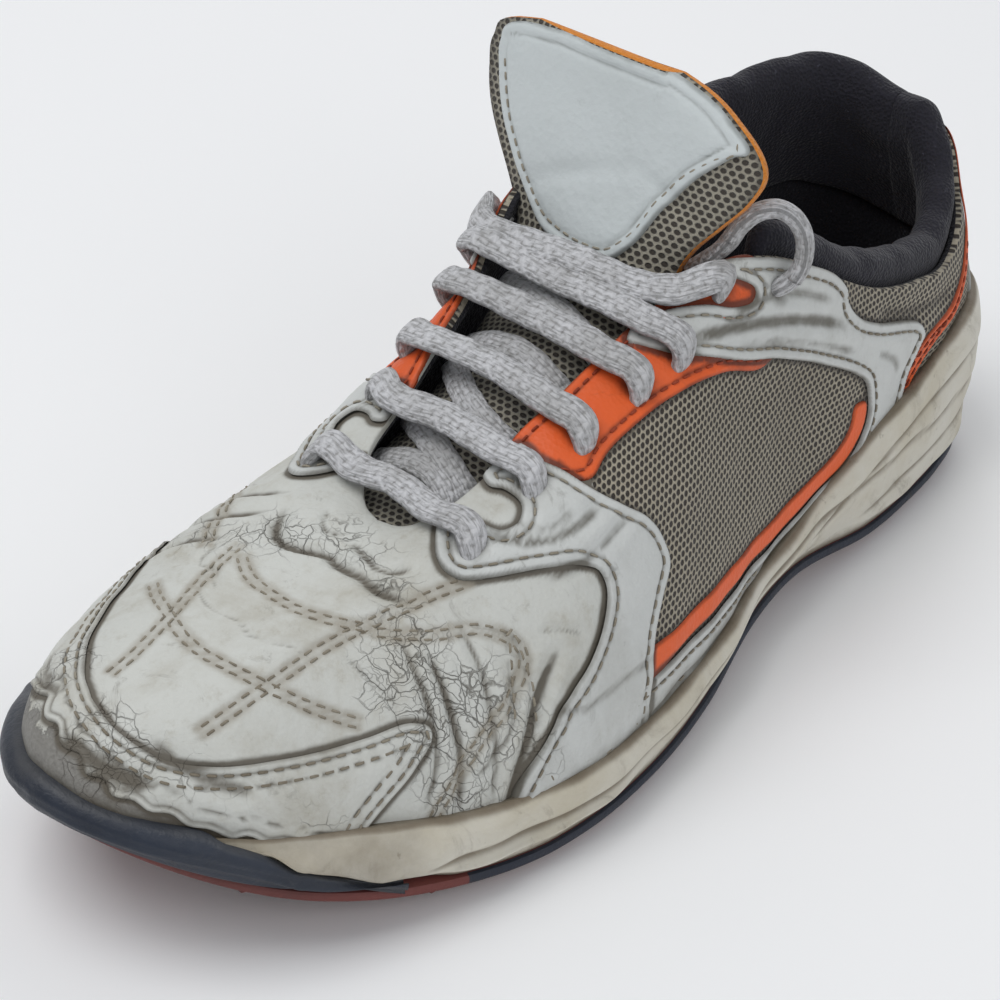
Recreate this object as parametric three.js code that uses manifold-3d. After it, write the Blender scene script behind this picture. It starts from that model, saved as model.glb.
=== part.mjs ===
// A worn running shoe for the left foot, standing empty on its sole.
// The toe points along -Y, the wearer's left (outer) side is +X and Z is up, in millimetres.
// Every curved piece is worked out from one pair of coordinates on the last: t runs along the
// sole's edge from the heel's middle (0) to the toe's middle (1) on each side, and h climbs the
// upper from its bottom edge (0) to the opening's edge (1).
import * as THREE from 'three';
import ManifoldModule from 'manifold-3d';

// ---------------------------------------------------------------- driving dimensions
const LENGTH = 287;            // heel back to toe tip
const MIDDLE_X = 5.2;          // middle of the widest part, off the heel's centre line
const WALL = 2.6;              // upper: leather, foam and lining together
const GAP = 0.3;               // clearance between pieces that are glued or sewn
const OUTSOLE_PLATE = 2.6;
const LUG_DEPTH = 2.2;
const SOLE_STACK = OUTSOLE_PLATE + LUG_DEPTH + GAP;
const RIM_WALL = 3.0;          // the midsole's cup wall beside the upper
const INSOLE = 3.6;
const LACE_WIDTH = 6.4;
const LACE_THICK = 3.8;
const LATERAL = 1;
const MEDIAL = -1;
const SIDE_STEPS = 50;         // steps along each side of the sole's edge

// Sole outline: distance from the heel's back, distance from the heel's centre line.
const OUTLINE = {
  [LATERAL]: [
    [0, 0], [2.2, 11], [9, 23.5], [19, 31.5], [34, 36], [54, 38.5], [76, 39.5], [98, 39], [122, 42.5],
    [148, 50], [172, 55.2], [194, 57], [212, 55.4], [230, 51], [246, 45], [258, 38.6], [267.5, 31.4],
    [275, 23.5], [281, 14.5], [285.2, 5], [LENGTH, -5],
  ],
  [MEDIAL]: [
    [0, 0], [2.2, -11], [9, -22.5], [19, -29.5], [34, -33], [54, -33.5], [76, -31.5], [98, -30],
    [120, -31.5], [145, -37], [170, -42.5], [194, -46], [214, -46.5], [234, -44.3], [251, -39.4],
    [264, -33.4], [274, -26.6], [281, -19.8], [285.6, -12.4], [LENGTH, -5],
  ],
};
// Opening's edge: t, distance from the heel, distance from the centre line, height.
const OPENING = {
  [LATERAL]: [
    [0, 6.5, 0, 76], [0.05, 8.5, 11, 76], [0.10, 16, 21.5, 64], [0.15, 31, 28.5, 56.5], [0.20, 49, 31.5, 59.5],
    [0.25, 67, 32.5, 65], [0.30, 82, 31.5, 73], [0.35, 96, 30, 82], [0.40, 109, 27, 87.5],
    [0.45, 121, 21.5, 87], [0.50, 134, 17.5, 81.5], [0.55, 148, 15.5, 75.5], [0.60, 162, 15, 70],
    [0.65, 175, 15, 65], [0.70, 186, 14.5, 60.5], [0.80, 195, 11.5, 56.5], [0.90, 199, 8, 55],
    [1, 200, 2, 54.5],
  ],
  [MEDIAL]: [
    [0, 6.5, 0, 76], [0.05, 9, -12.5, 80], [0.10, 17, -22.5, 83], [0.15, 31, -29.5, 83], [0.20, 48, -32.5, 83],
    [0.25, 64, -33.5, 83], [0.30, 79, -33.5, 85], [0.35, 92, -33, 88], [0.40, 106, -33, 90],
    [0.45, 120, -30.5, 88.5], [0.50, 134, -25.5, 83.5], [0.55, 148, -20, 77], [0.60, 162, -16.5, 71],
    [0.65, 174, -14.5, 65], [0.70, 184, -12.5, 61], [0.80, 193, -8, 57], [0.90, 198, -3, 55],
    [1, 200, 2, 54.5],
  ],
};
// How the upper arches inwards: t, degrees of a quarter turn used, power of the height, bulge.
const ARCH = {
  [LATERAL]: [
    [0, 34, 1, 1.6], [0.1, 36, 1, 1.6], [0.2, 40, 1, 1.2], [0.3, 48, 1, 0.6], [0.4, 58, 1, 0], [0.5, 66, 1, 0],
    [0.6, 72, 1, 0], [0.7, 80, 1.15, 0], [0.8, 86, 1.05, 0], [0.9, 90, 0.72, 0], [1, 90, 0.55, 0],
  ],
  [MEDIAL]: [
    [0, 34, 1, 1.6], [0.1, 36, 1, 1.6], [0.2, 38, 1, 1.2], [0.3, 44, 1, 0.6], [0.4, 54, 1, 0], [0.5, 62, 1, 0],
    [0.6, 72, 1.02, 0], [0.7, 80, 0.98, 0], [0.8, 86, 0.78, 0], [0.9, 90, 0.60, 0], [1, 90, 0.55, 0],
  ],
};
// Height of the tread's underside and of the footbed, by distance from the heel.
const GROUND = [
  [0, 6.5], [6, 4], [14, 1.2], [23, 0], [58, 0], [70, 0.7], [84, 3], [100, 4.6], [116, 4.2],
  [134, 1.8], [148, 0.4], [158, 0], [206, 0], [217, 0.8], [230, 2.4], [246, 5.6], [260, 10],
  [272, 16], [281, 22], [LENGTH, 27],
];
const FOOTBED = [
  [0, 22], [30, 21], [60, 20.5], [100, 19], [130, 16], [160, 14], [200, 13], [230, 15], [260, 21],
  [LENGTH, 31],
];
// Top of the midsole's cup by t, and of the toe bumper.
const RIM = {
  [LATERAL]: [
    [0, 44], [0.06, 43.5], [0.10, 43], [0.15, 41], [0.20, 38], [0.27, 36], [0.32, 33], [0.38, 27.5],
    [0.45, 24.5], [0.52, 21.5], [0.60, 18.8], [0.68, 18.6], [0.75, 21.5], [0.80, 24.5], [0.86, 27],
    [0.93, 31.5], [1, 37],
  ],
  [MEDIAL]: [
    [0, 44], [0.06, 43.5], [0.10, 43], [0.15, 41], [0.20, 39], [0.27, 37], [0.32, 35], [0.38, 31],
    [0.45, 27], [0.52, 24], [0.60, 22], [0.68, 21.5], [0.75, 23], [0.80, 26], [0.86, 30],
    [0.93, 35.5], [1, 37],
  ],
};
const BUMPER_START = 0.78;
const BUMPER_TOP = {
  [LATERAL]: [
    [BUMPER_START, 9], [0.80, 12.5], [0.835, 20], [0.865, 27], [0.89, 30.5], [0.93, 33.5], [0.97, 37],
    [1, 39.5],
  ],
  [MEDIAL]: [
    [BUMPER_START, 9], [0.80, 14], [0.83, 23], [0.86, 31], [0.90, 36.5], [0.95, 39], [1, 39.5],
  ],
};
const INSET = [[0, 4.2], [0.2, 4], [0.4, 4], [0.6, 3.8], [0.75, 4.2], [0.85, 5.6], [1, 6.4]];
// How far the tread's edge lies inside the outline: the toe curls up over the ground.
const UNDERCUT = [[0, 2.4], [0.7, 2.2], [0.8, 4], [0.9, 6.5], [1, 7.5]];
const BUMPER_THICK = [[BUMPER_START, 1.6], [0.85, 2.4], [1, 3]];

// ---------------------------------------------------------------- smooth tables
function smooth(rows, t) {
  const last = rows.length - 1;
  const at = Math.min(Math.max(t, rows[0][0]), rows[last][0]);
  let i = 0;
  while (i < last - 1 && at >= rows[i + 1][0]) i += 1;
  const step = (k) => rows[k + 1][0] - rows[k][0];
  const rise = (k, c) => (rows[k + 1][c] - rows[k][c]) / step(k);
  const slope = (k, c) => {
    if (k === 0) return rise(0, c);
    if (k === last) return rise(last - 1, c);
    return (rise(k - 1, c) * step(k) + rise(k, c) * step(k - 1)) / (step(k - 1) + step(k));
  };
  const u = (at - rows[i][0]) / step(i);
  const [a, b] = [2 * u ** 3 - 3 * u ** 2 + 1, u ** 3 - 2 * u ** 2 + u];
  const [c, d] = [3 * u ** 2 - 2 * u ** 3, u ** 3 - u ** 2];
  return rows[i].slice(1).map((value, k) => (
    a * value + b * step(i) * slope(i, k + 1) + c * rows[i + 1][k + 1] + d * step(i) * slope(i + 1, k + 1)
  ));
}

// ---------------------------------------------------------------- the sole's edge by arc length
function arcLengthTable(points) {
  const chord = [0];
  for (let i = 1; i < points.length; i += 1) {
    chord.push(chord[i - 1] + Math.hypot(points[i][0] - points[i - 1][0], points[i][1] - points[i - 1][1]));
  }
  const rows = points.map((point, i) => [chord[i], ...point]);
  const dense = [];
  let run = 0;
  for (let i = 0; i < 600; i += 1) {
    const point = smooth(rows, (chord.at(-1) * i) / 599);
    if (i > 0) run += Math.hypot(point[0] - dense[i - 1][1], point[1] - dense[i - 1][2]);
    dense.push([run, ...point]);
  }
  return dense.map(([s, a, x]) => [s / run, a, x]);
}
const EDGE = {
  [LATERAL]: arcLengthTable(OUTLINE[LATERAL]),
  [MEDIAL]: arcLengthTable(OUTLINE[MEDIAL]),
};
function edgePoint(side, t) {
  const table = EDGE[side];
  const at = Math.min(Math.max(t, 0), 1);
  let [low, high] = [0, table.length - 1];
  while (high - low > 1) {
    const mid = (low + high) >> 1;
    if (table[mid][0] <= at) low = mid;
    else high = mid;
  }
  const u = (at - table[low][0]) / (table[high][0] - table[low][0]);
  return [1, 2].map((k) => table[low][k] + (table[high][k] - table[low][k]) * u);
}
// Unit vector pointing into the shoe, square to the edge in plan.
function inward(side, t) {
  let along = [0, t < 0.5 ? side : -side];
  if (t > 1e-6 && t < 1 - 1e-6) {
    const [from, to] = [edgePoint(side, t - 0.012), edgePoint(side, t + 0.012)];
    along = [to[0] - from[0], to[1] - from[1]];
  }
  const size = Math.hypot(...along);
  return [(along[1] / size) * side, (-along[0] / size) * side];
}
function ring(side, t, inset) {
  const point = edgePoint(side, t);
  const way = inward(side, t);
  return [point[0] + way[0] * inset, point[1] + way[1] * inset];
}

// ---------------------------------------------------------------- the last's surface
const bottomEdge = (side, t) => ring(side, t, smooth(INSET, t)[0]);
function bottomHeight(side, t) {
  return smooth(FOOTBED, bottomEdge(side, t)[0])[0] + GAP;
}
function surface(side, t, h) {
  const foot = bottomEdge(side, t);
  const low = smooth(FOOTBED, foot[0])[0] + GAP;
  const [openA, openX, openZ] = smooth(OPENING[side], t);
  const [turn, power, bulge] = smooth(ARCH[side], t);
  const full = THREE.MathUtils.degToRad(turn);
  const inwards = (1 - Math.cos(full * h)) / (1 - Math.cos(full));
  const upwards = Math.max(Math.sin(full * h) / Math.sin(full), 0) ** power;
  const way = inward(side, t);
  const push = bulge * Math.sin(Math.PI * Math.min(h, 1));
  return new THREE.Vector3(
    foot[0] + (openA - foot[0]) * inwards - way[0] * push,
    foot[1] + (openX - foot[1]) * inwards - way[1] * push,
    low + (openZ - low) * upwards,
  );
}
function surfaceNormalOneSide(side, t, h) {
  const step = 0.004;
  const along = surface(side, Math.min(t + step, 1), h).sub(surface(side, Math.max(t - step, 0), h));
  const up = surface(side, t, Math.min(h + step, 1.02)).sub(surface(side, t, Math.max(h - step, 0.002)));
  return along.cross(up).multiplyScalar(side).normalize();
}
function surfaceNormal(side, t, h) {
  const normal = surfaceNormalOneSide(side, t, h);
  if (t < 1e-6 || t > 1 - 1e-6) normal.add(surfaceNormalOneSide(-side, t, h)).normalize();
  return normal;
}
const OUTWARD_SIGN = Math.sign(
  surfaceNormalOneSide(LATERAL, 0.3, 0.2).dot(new THREE.Vector3(0, 1, 0)),
);
function skin(side, t, h, offset) {
  return surface(side, t, h).addScaledVector(surfaceNormal(side, t, h), OUTWARD_SIGN * offset);
}
// The h at which the upper reaches a height.
function hAtHeight(side, t, height) {
  const low = bottomHeight(side, t);
  const top = smooth(OPENING[side], t)[2];
  const [turn, power] = smooth(ARCH[side], t);
  const full = THREE.MathUtils.degToRad(turn);
  const share = Math.min(Math.max((height - low) / (top - low), 0), 1);
  return Math.asin(share ** (1 / power) * Math.sin(full)) / full;
}
const groundAt = (a) => Math.max(smooth(GROUND, a)[0], 0);
function treadHeight(side, t) {
  return groundAt(ring(side, t, smooth(UNDERCUT, t)[0] + 1)[0]);
}
function bumperTop(side, t) {
  return Math.max(smooth(BUMPER_TOP[side], t)[0], treadHeight(side, t) + SOLE_STACK + 6.7);
}
const setIn = (t) => {
  const share = THREE.MathUtils.smoothstep(t, BUMPER_START - 0.04, BUMPER_START - 0.01);
  return share * (smooth(BUMPER_THICK, t)[0] + 1.5 * GAP);
};

// ---------------------------------------------------------------- closed bodies
function placed(points) {
  return points.map((p) => [p.y - MIDDLE_X, LENGTH / 2 - p.x, p.z]);
}
function closedBody(points, faces) {
  const flat = placed(points);
  let volume = 0;
  faces.forEach(([i, j, k]) => {
    const [a, b, c] = [flat[i], flat[j], flat[k]].map((p) => new THREE.Vector3(...p));
    volume += a.dot(b.clone().cross(c)) / 6;
  });
  const wound = volume < 0 ? faces.map(([i, j, k]) => [i, k, j]) : faces;
  const geometry = new THREE.BufferGeometry();
  geometry.setAttribute('position', new THREE.Float32BufferAttribute(flat.flat(), 3));
  geometry.setIndex(wound.flat());
  geometry.computeVertexNormals();
  return geometry;
}
// Stations round the sole's edge: up the lateral side, back down the medial side.
function roundTheEdge(steps) {
  const stations = [];
  for (let i = 0; i <= steps; i += 1) stations.push([LATERAL, i / steps]);
  for (let i = steps - 1; i > 0; i -= 1) stations.push([MEDIAL, i / steps]);
  return stations;
}
function bandFaces(count, rows, closed) {
  const faces = [];
  const lastRow = closed ? rows : rows - 1;
  for (let r = 0; r < lastRow; r += 1) {
    for (let i = 0; i < count; i += 1) {
      const j = (i + 1) % count;
      const next = (r + 1) % rows;
      faces.push([r * count + i, r * count + j, next * count + j]);
      faces.push([r * count + i, next * count + j, next * count + i]);
    }
  }
  return faces;
}
// A cap across one ring, joining each lateral station to the medial one beside it.
function stripCap(count, start, flip) {
  const steps = count / 2;
  const medial = (i) => (i === 0 || i === steps ? start + i : start + count - i);
  const faces = [];
  for (let i = 0; i < steps; i += 1) {
    const [a, b, c, d] = [start + i, start + i + 1, medial(i + 1), medial(i)];
    if (a !== d) faces.push([a, b, d]);
    if (b !== c) faces.push([b, c, d]);
  }
  return flip ? faces.map(([i, j, k]) => [i, k, j]) : faces;
}
function stackOfRings(rings) {
  const count = rings[0].length;
  const faces = bandFaces(count, rings.length, false);
  faces.push(...stripCap(count, 0, true));
  faces.push(...stripCap(count, (rings.length - 1) * count, false));
  return closedBody(rings.flat(), faces);
}
// A run of closed sections with flat ends.
function sweep(sections) {
  const count = sections[0].length;
  const points = sections.flat();
  const faces = bandFaces(count, sections.length, false);
  [0, sections.length - 1].forEach((row) => {
    const middle = new THREE.Vector3();
    sections[row].forEach((p) => middle.addScaledVector(p, 1 / count));
    points.push(middle);
    for (let i = 0; i < count; i += 1) {
      const [a, b] = [row * count + i, row * count + ((i + 1) % count)];
      faces.push(row === 0 ? [b, a, points.length - 1] : [a, b, points.length - 1]);
    }
  });
  return closedBody(points, faces);
}
const at = (plan, height) => new THREE.Vector3(plan[0], plan[1], height);

// ---------------------------------------------------------------- sole unit
function midsole() {
  const stations = roundTheEdge(SIDE_STEPS);
  const rows = [[], [], [], [], [], [], [], [], [], []];
  stations.forEach(([side, t]) => {
    const floor = treadHeight(side, t) + SOLE_STACK;
    const rim = smooth(RIM[side], t)[0];
    const inset = setIn(t);
    const wall = THREE.MathUtils.lerp(RIM_WALL, 1.5, THREE.MathUtils.smoothstep(t, 0.78, 0.86));
    const bumper = t < BUMPER_START - 1e-6 ? floor : bumperTop(side, t);
    const bare = THREE.MathUtils.clamp((rim - bumper - 1) / 4, 0, 1);
    const step = Math.min(Math.max(bumper, floor + 3), rim - 2.4);
    const h = hAtHeight(side, t, rim);
    const under = smooth(UNDERCUT, t)[0];
    rows[0].push(at(ring(side, t, under + inset), floor));
    rows[1].push(at(ring(side, t, under * 0.3 + inset), Math.min(floor + 2.4, step - 0.3)));
    rows[2].push(at(ring(side, t, inset), step));
    const upper = skin(side, t, h, GAP + wall);
    const plan = ring(side, t, inset * (1 - bare));
    rows[3].push(at([plan[0] * 0.75 + upper.x * 0.25, plan[1] * 0.75 + upper.y * 0.25], step + 0.6));
    rows[4].push(at([upper.x, upper.y], rim - 1));
    const crown = skin(side, t, h, GAP + wall * 0.6);
    rows[5].push(at([crown.x, crown.y], rim));
    const lip = skin(side, t, h, GAP);
    rows[6].push(at([lip.x, lip.y], rim - 0.3));
    rows[7].push(skin(side, t, h * 0.5, GAP));
    const corner = bottomEdge(side, t);
    const way = inward(side, t);
    const seat = [corner[0] - way[0] * GAP, corner[1] - way[1] * GAP];
    rows[8].push(at(seat, bottomHeight(side, t)));
    rows[9].push(at(seat, bottomHeight(side, t) - GAP));
  });
  return stackOfRings(rows);
}

function outsolePlate() {
  const stations = roundTheEdge(SIDE_STEPS);
  const rows = [[], [], [], []];
  stations.forEach(([side, t]) => {
    const low = treadHeight(side, t) + LUG_DEPTH;
    const inset = smooth(UNDERCUT, t)[0] - 1;
    rows[0].push(at(ring(side, t, inset + 1.2), low));
    rows[1].push(at(ring(side, t, inset), low + 0.9));
    rows[2].push(at(ring(side, t, inset), low + OUTSOLE_PLATE - 0.7));
    rows[3].push(at(ring(side, t, inset + 1), low + OUTSOLE_PLATE));
  });
  return stackOfRings(rows);
}
// One lug: a slanted bar from near the groove to near the edge, following the tread's height.
function lug(side, station, depth) {
  const slant = 5;
  const tip = station + slant + depth / 2;
  const half = Math.min(edgeAt(side, station - depth / 2), edgeAt(side, tip));
  const inner = side * 3.2;
  const outer = side * (half - (tip > 240 ? 8.5 : 4.2));
  const corners = [
    [station - depth / 2, inner], [station + depth / 2, inner],
    [station + depth / 2 + slant, outer], [station - depth / 2 + slant, outer],
  ];
  const points = [];
  corners.forEach(([a, x]) => points.push(new THREE.Vector3(a, x, groundAt(a))));
  corners.forEach(([a, x]) => points.push(new THREE.Vector3(a, x, groundAt(a) + LUG_DEPTH + 0.5)));
  const faces = bandFaces(4, 2, false);
  faces.push([0, 2, 1], [0, 3, 2], [4, 5, 6], [4, 6, 7]);
  return closedBody(points, faces);
}
function edgeAt(side, station) {
  const row = EDGE[side].find(([, a]) => a >= station);
  return Math.abs(row[2]);
}
const LUG_PITCH = 10.5;
const LUG_LENGTH = 7.4;
const LUG_STATIONS = [];
for (let a = 13; a < 262; a += LUG_PITCH) {
  if (a < 82 || a > 128) LUG_STATIONS.push(a);
}

const wasm = await ManifoldModule();
wasm.setup();
function toManifold(geometry) {
  return new wasm.Manifold(new wasm.Mesh({
    numProp: 3,
    vertProperties: new Float32Array(geometry.attributes.position.array),
    triVerts: new Uint32Array(geometry.index.array),
  }));
}
function fromManifold(solid) {
  const mesh = solid.getMesh();
  const geometry = new THREE.BufferGeometry();
  geometry.setAttribute('position', new THREE.Float32BufferAttribute(Array.from(mesh.vertProperties), 3));
  geometry.setIndex(Array.from(mesh.triVerts));
  geometry.computeVertexNormals();
  return geometry;
}
function outsole() {
  const parts = [toManifold(outsolePlate())];
  LUG_STATIONS.forEach((station) => {
    parts.push(toManifold(lug(LATERAL, station, LUG_LENGTH)));
    parts.push(toManifold(lug(MEDIAL, station, LUG_LENGTH)));
  });
  return fromManifold(wasm.Manifold.union(parts));
}

function toeBumper() {
  const stations = [];
  const steps = Math.round((1 - BUMPER_START) * SIDE_STEPS);
  for (let i = 0; i <= steps; i += 1) {
    stations.push([LATERAL, BUMPER_START + ((1 - BUMPER_START) * i) / steps]);
  }
  for (let i = steps - 1; i >= 0; i -= 1) {
    stations.push([MEDIAL, BUMPER_START + ((1 - BUMPER_START) * i) / steps]);
  }
  return sweep(stations.map(([side, t]) => {
    const floor = treadHeight(side, t) + SOLE_STACK + 0.3;
    const thick = smooth(BUMPER_THICK, t)[0];
    const rim = smooth(RIM[side], t)[0];
    const top = bumperTop(side, t);
    const over = top > rim + 1.2;
    const h = hAtHeight(side, t, top);
    const lip = skin(side, t, h, over ? GAP + 0.2 : 0);
    const nose = skin(side, t, h, GAP + 2.2);
    const hook = over ? [lip.x, lip.y] : ring(side, t, thick);
    const crest = over ? [nose.x, nose.y] : ring(side, t, thick * 0.3);
    const under = smooth(UNDERCUT, t)[0];
    return [
      at(ring(side, t, under * 0.84 + thick), floor),
      at(ring(side, t, under), floor),
      at(ring(side, t, under * 0.3), floor + 2.1),
      at(ring(side, t, 0), Math.max(top - 3.4, floor + 2.8)),
      at(crest, top - 0.5),
      at(hook, top - (over ? 0.2 : 0.4)),
      at(over ? hook : ring(side, t, thick), top - (over ? 1.1 : 0.9)),
      at(ring(side, t, thick), over ? Math.min(top - 1.4, rim + 0.45) : top - 1.3),
      at(ring(side, t, thick), over ? rim - 2.6 : top - 2.2),
      at(ring(side, t, thick + under * 0.3), floor + 2.1),
    ];
  }));
}

// ---------------------------------------------------------------- upper, pad, tongue, insole
const UPPER_LEVELS = [0, 0.07, 0.16, 0.27, 0.39, 0.51, 0.63, 0.75, 0.87, 1];
const LINING_LEVELS = [1, 0.85, 0.68, 0.5, 0.32, 0.15, 0];
function upper() {
  const stations = roundTheEdge(SIDE_STEPS);
  const rows = UPPER_LEVELS.map((h) => stations.map(([side, t]) => skin(side, t, h, 0)));
  LINING_LEVELS.forEach((h) => {
    rows.push(stations.map(([side, t]) => {
      if (h > 0) return skin(side, t, h, -WALL);
      const foot = bottomEdge(side, t);
      const way = inward(side, t);
      return at([foot[0] + way[0] * WALL, foot[1] + way[1] * WALL], bottomHeight(side, t));
    }));
  });
  return closedBody(rows.flat(), bandFaces(stations.length, rows.length, true));
}

const PAD_END = 0.40;          // the padded roll stops at the lacing's top corners
// The roll's section: how far in from the upper's outside, how far above the collar's edge.
const PAD_SECTION = [
  [WALL + 1.2, -27], [WALL + 1, -14], [WALL + 1, -3], [WALL + 0.7, 2.4], [WALL + 1.6, 6],
  [WALL + 4.2, 7.6], [WALL + 6.6, 5.4], [WALL + 7.4, 0], [WALL + 6.4, -9], [WALL + 4.2, -20], [WALL + 2.2, -27.5],
];
function collarPad() {
  const stations = [];
  const steps = Math.round(PAD_END * SIDE_STEPS);
  for (let i = 0; i <= steps; i += 1) stations.push([LATERAL, PAD_END * (1 - i / steps)]);
  for (let i = 1; i <= steps; i += 1) stations.push([MEDIAL, PAD_END * (i / steps)]);
  return sweep(stations.map(([side, t]) => {
    const edge = smooth(OPENING[side], t)[2];
    const fade = THREE.MathUtils.smoothstep(PAD_END - t, -0.02, 0.06);
    return PAD_SECTION.map(([inset, rise]) => {
      const height = Math.min(edge, edge + rise);
      const h = hAtHeight(side, t, height);
      const depth = WALL + 1 + (inset - WALL - 1) * (inset > WALL + 2 ? 0.55 + 0.45 * fade : 1);
      const point = skin(side, t, h, -depth);
      if (rise > 0) point.z = edge + rise * (0.6 + 0.4 * fade);
      else point.z = Math.max(point.z, bottomHeight(side, t) + INSOLE + 2);
      return point;
    });
  }));
}

// The tongue by stations: distance from the heel, height, half widths, sag of the sides, thickness.
const TONGUE = [
  [211, 48.8, 13, 13, 2.2, 2.4], [203, 50.4, 14.5, 14.5, 3.2, 3.2], [195, 52.2, 16, 16, 4.6, 4.2],
  [180, 58.2, 17.5, 17.5, 6.6, 5], [165, 65.2, 18, 18.5, 7.6, 5.2], [150, 72.4, 18, 20, 7.8, 5.2],
  [140, 76.8, 18, 22, 7.4, 5.4], [133, 80.4, 16.5, 23.5, 6.8, 5.4], [128.5, 85, 14.5, 24.5, 5.4, 5.2],
  [125, 91, 15, 26.5, 4.6, 5.2], [122, 97.5, 20, 33, 4.4, 5.4], [119.4, 104, 25.5, 40, 4.4, 5.6],
  [117.2, 110.5, 28.5, 44, 4.2, 5.8], [115.6, 117, 28.5, 45, 3.6, 5.2], [114.6, 122, 23, 39, 3.0, 4.2],
  [114.3, 124, 15, 31, 2.4, 2.6],
];
const ACROSS = 8;
function tongue() {
  return sweep(TONGUE.map(([a, z, lateral, medial, sag, thick], row) => {
    const before = TONGUE[Math.max(row - 1, 0)];
    const after = TONGUE[Math.min(row + 1, TONGUE.length - 1)];
    const run = new THREE.Vector3(after[0] - before[0], 0, after[1] - before[1]).normalize();
    const outward = new THREE.Vector3(run.z, 0, -run.x);
    if (outward.z < 0 || (Math.abs(outward.z) < 0.2 && outward.x < 0)) outward.negate();
    const loop = [];
    const place = (share, under) => {
      const x = share > 0 ? share * lateral : share * medial;
      const edge = 1 - Math.abs(share) ** 3;
      const drop = sag * share * share + (under ? thick * (0.35 + 0.65 * edge) : 0);
      loop.push(new THREE.Vector3(a, x + 1, z).addScaledVector(outward, -drop));
    };
    for (let i = 0; i <= ACROSS; i += 1) place((2 * i) / ACROSS - 1, false);
    for (let i = ACROSS; i >= 0; i -= 1) place((2 * i) / ACROSS - 1, true);
    return loop;
  }));
}

function insole() {
  const stations = roundTheEdge(SIDE_STEPS);
  const rows = [[], [], [], []];
  stations.forEach(([side, t]) => {
    const clear = smooth(INSET, t)[0] + WALL + 0.9;
    const low = bottomHeight(side, t) + 0.1;
    const lean = 1.2 * THREE.MathUtils.smoothstep(t, 0.5, 0.8);
    rows[0].push(at(ring(side, t, clear + 0.6), low));
    rows[1].push(at(ring(side, t, clear), low + 0.6));
    rows[2].push(at(ring(side, t, clear + lean), low + INSOLE - 0.8));
    rows[3].push(at(ring(side, t, clear + lean + 0.8), low + INSOLE));
  });
  return stackOfRings(rows);
}

// ---------------------------------------------------------------- lace
// Each crossing joins one eyelet on each side: lateral t and h, medial t and h, then the middle's
// distance from the heel and height, how far the ribbon leans forwards, and any extra lift.
const CROSSINGS = [
  [0.715, 0.845, 0.725, 0.86, 194, 60.4, 0.25], [0.642, 0.87, 0.638, 0.90, 177, 67, 0.36],
  [0.588, 0.856, 0.585, 0.86, 162.5, 72.6, 0.4], [0.53, 0.838, 0.53, 0.85, 148.5, 78.8, 0.42],
  [0.487, 0.82, 0.487, 0.84, 140, 83.4, 0.45, 0.7], [0.440, 0.93, 0.447, 0.93, 132.6, 91, 0.6, 2.9],
];
const LACE_LIFT = LACE_THICK / 2 + 0.7;
function ribbon(route, width, thick, lean) {
  const curve = new THREE.CatmullRomCurve3(route);
  const facing = new THREE.Vector3(lean, 0, 1).normalize();
  const steps = 14;
  const sections = [];
  for (let i = 0; i <= steps; i += 1) {
    const middle = curve.getPoint(i / steps);
    const run = curve.getTangent(i / steps);
    const across = new THREE.Vector3().crossVectors(run, facing).normalize();
    const up = new THREE.Vector3().crossVectors(across, run).normalize();
    const loop = [];
    for (let k = 0; k < 10; k += 1) {
      const angle = (2 * Math.PI * k) / 10;
      loop.push(middle.clone()
        .addScaledVector(across, (width / 2) * Math.cos(angle))
        .addScaledVector(up, (thick / 2) * Math.sin(angle)));
    }
    sections.push(loop);
  }
  return sweep(sections);
}
function laceBar([lateralT, lateralH, medialT, medialH, middleA, middleZ, lean, extra = 0]) {
  const lift = LACE_LIFT + extra;
  const start = skin(LATERAL, lateralT, lateralH, lift);
  const lateralEdge = skin(LATERAL, lateralT, 0.985, lift + 0.4);
  const medialEdge = skin(MEDIAL, medialT, 0.985, lift + 0.4);
  const end = skin(MEDIAL, medialT, medialH, lift);
  const middle = new THREE.Vector3(middleA, 1, middleZ);
  return ribbon([start, lateralEdge, middle, medialEdge, end], LACE_WIDTH, LACE_THICK, lean);
}
// The free loop: out from behind the tongue's edge, over the collar and down to the top eyelet.
const LOOP_ROUTE = [
  [113.8, 22.5, 92], [112.8, 24.2, 95.6], [110.8, 26.6, 98.6], [108, 29.4, 99.4], [105.5, 31.8, 97.6],
  [104, 33.8, 94], [103.8, 34.6, 90], [104.6, 34.6, 86.5], [105.8, 33.8, 83.6],
];
const LOOP_DIAMETER = 4.2;
function laceLoop() {
  const curve = new THREE.CatmullRomCurve3(LOOP_ROUTE.map(([a, x, z]) => new THREE.Vector3(a, x, z)));
  const sections = [];
  const steps = 14;
  for (let i = 0; i <= steps; i += 1) {
    const middle = curve.getPoint(i / steps);
    const run = curve.getTangent(i / steps);
    const side = new THREE.Vector3().crossVectors(run, new THREE.Vector3(0, 1, 0)).normalize();
    const other = new THREE.Vector3().crossVectors(side, run).normalize();
    const loop = [];
    for (let k = 0; k < 8; k += 1) {
      const angle = (2 * Math.PI * k) / 8;
      loop.push(middle.clone()
        .addScaledVector(side, (LOOP_DIAMETER / 2) * Math.cos(angle))
        .addScaledVector(other, (LOOP_DIAMETER / 2) * Math.sin(angle)));
    }
    sections.push(loop);
  }
  return sweep(sections);
}

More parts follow.
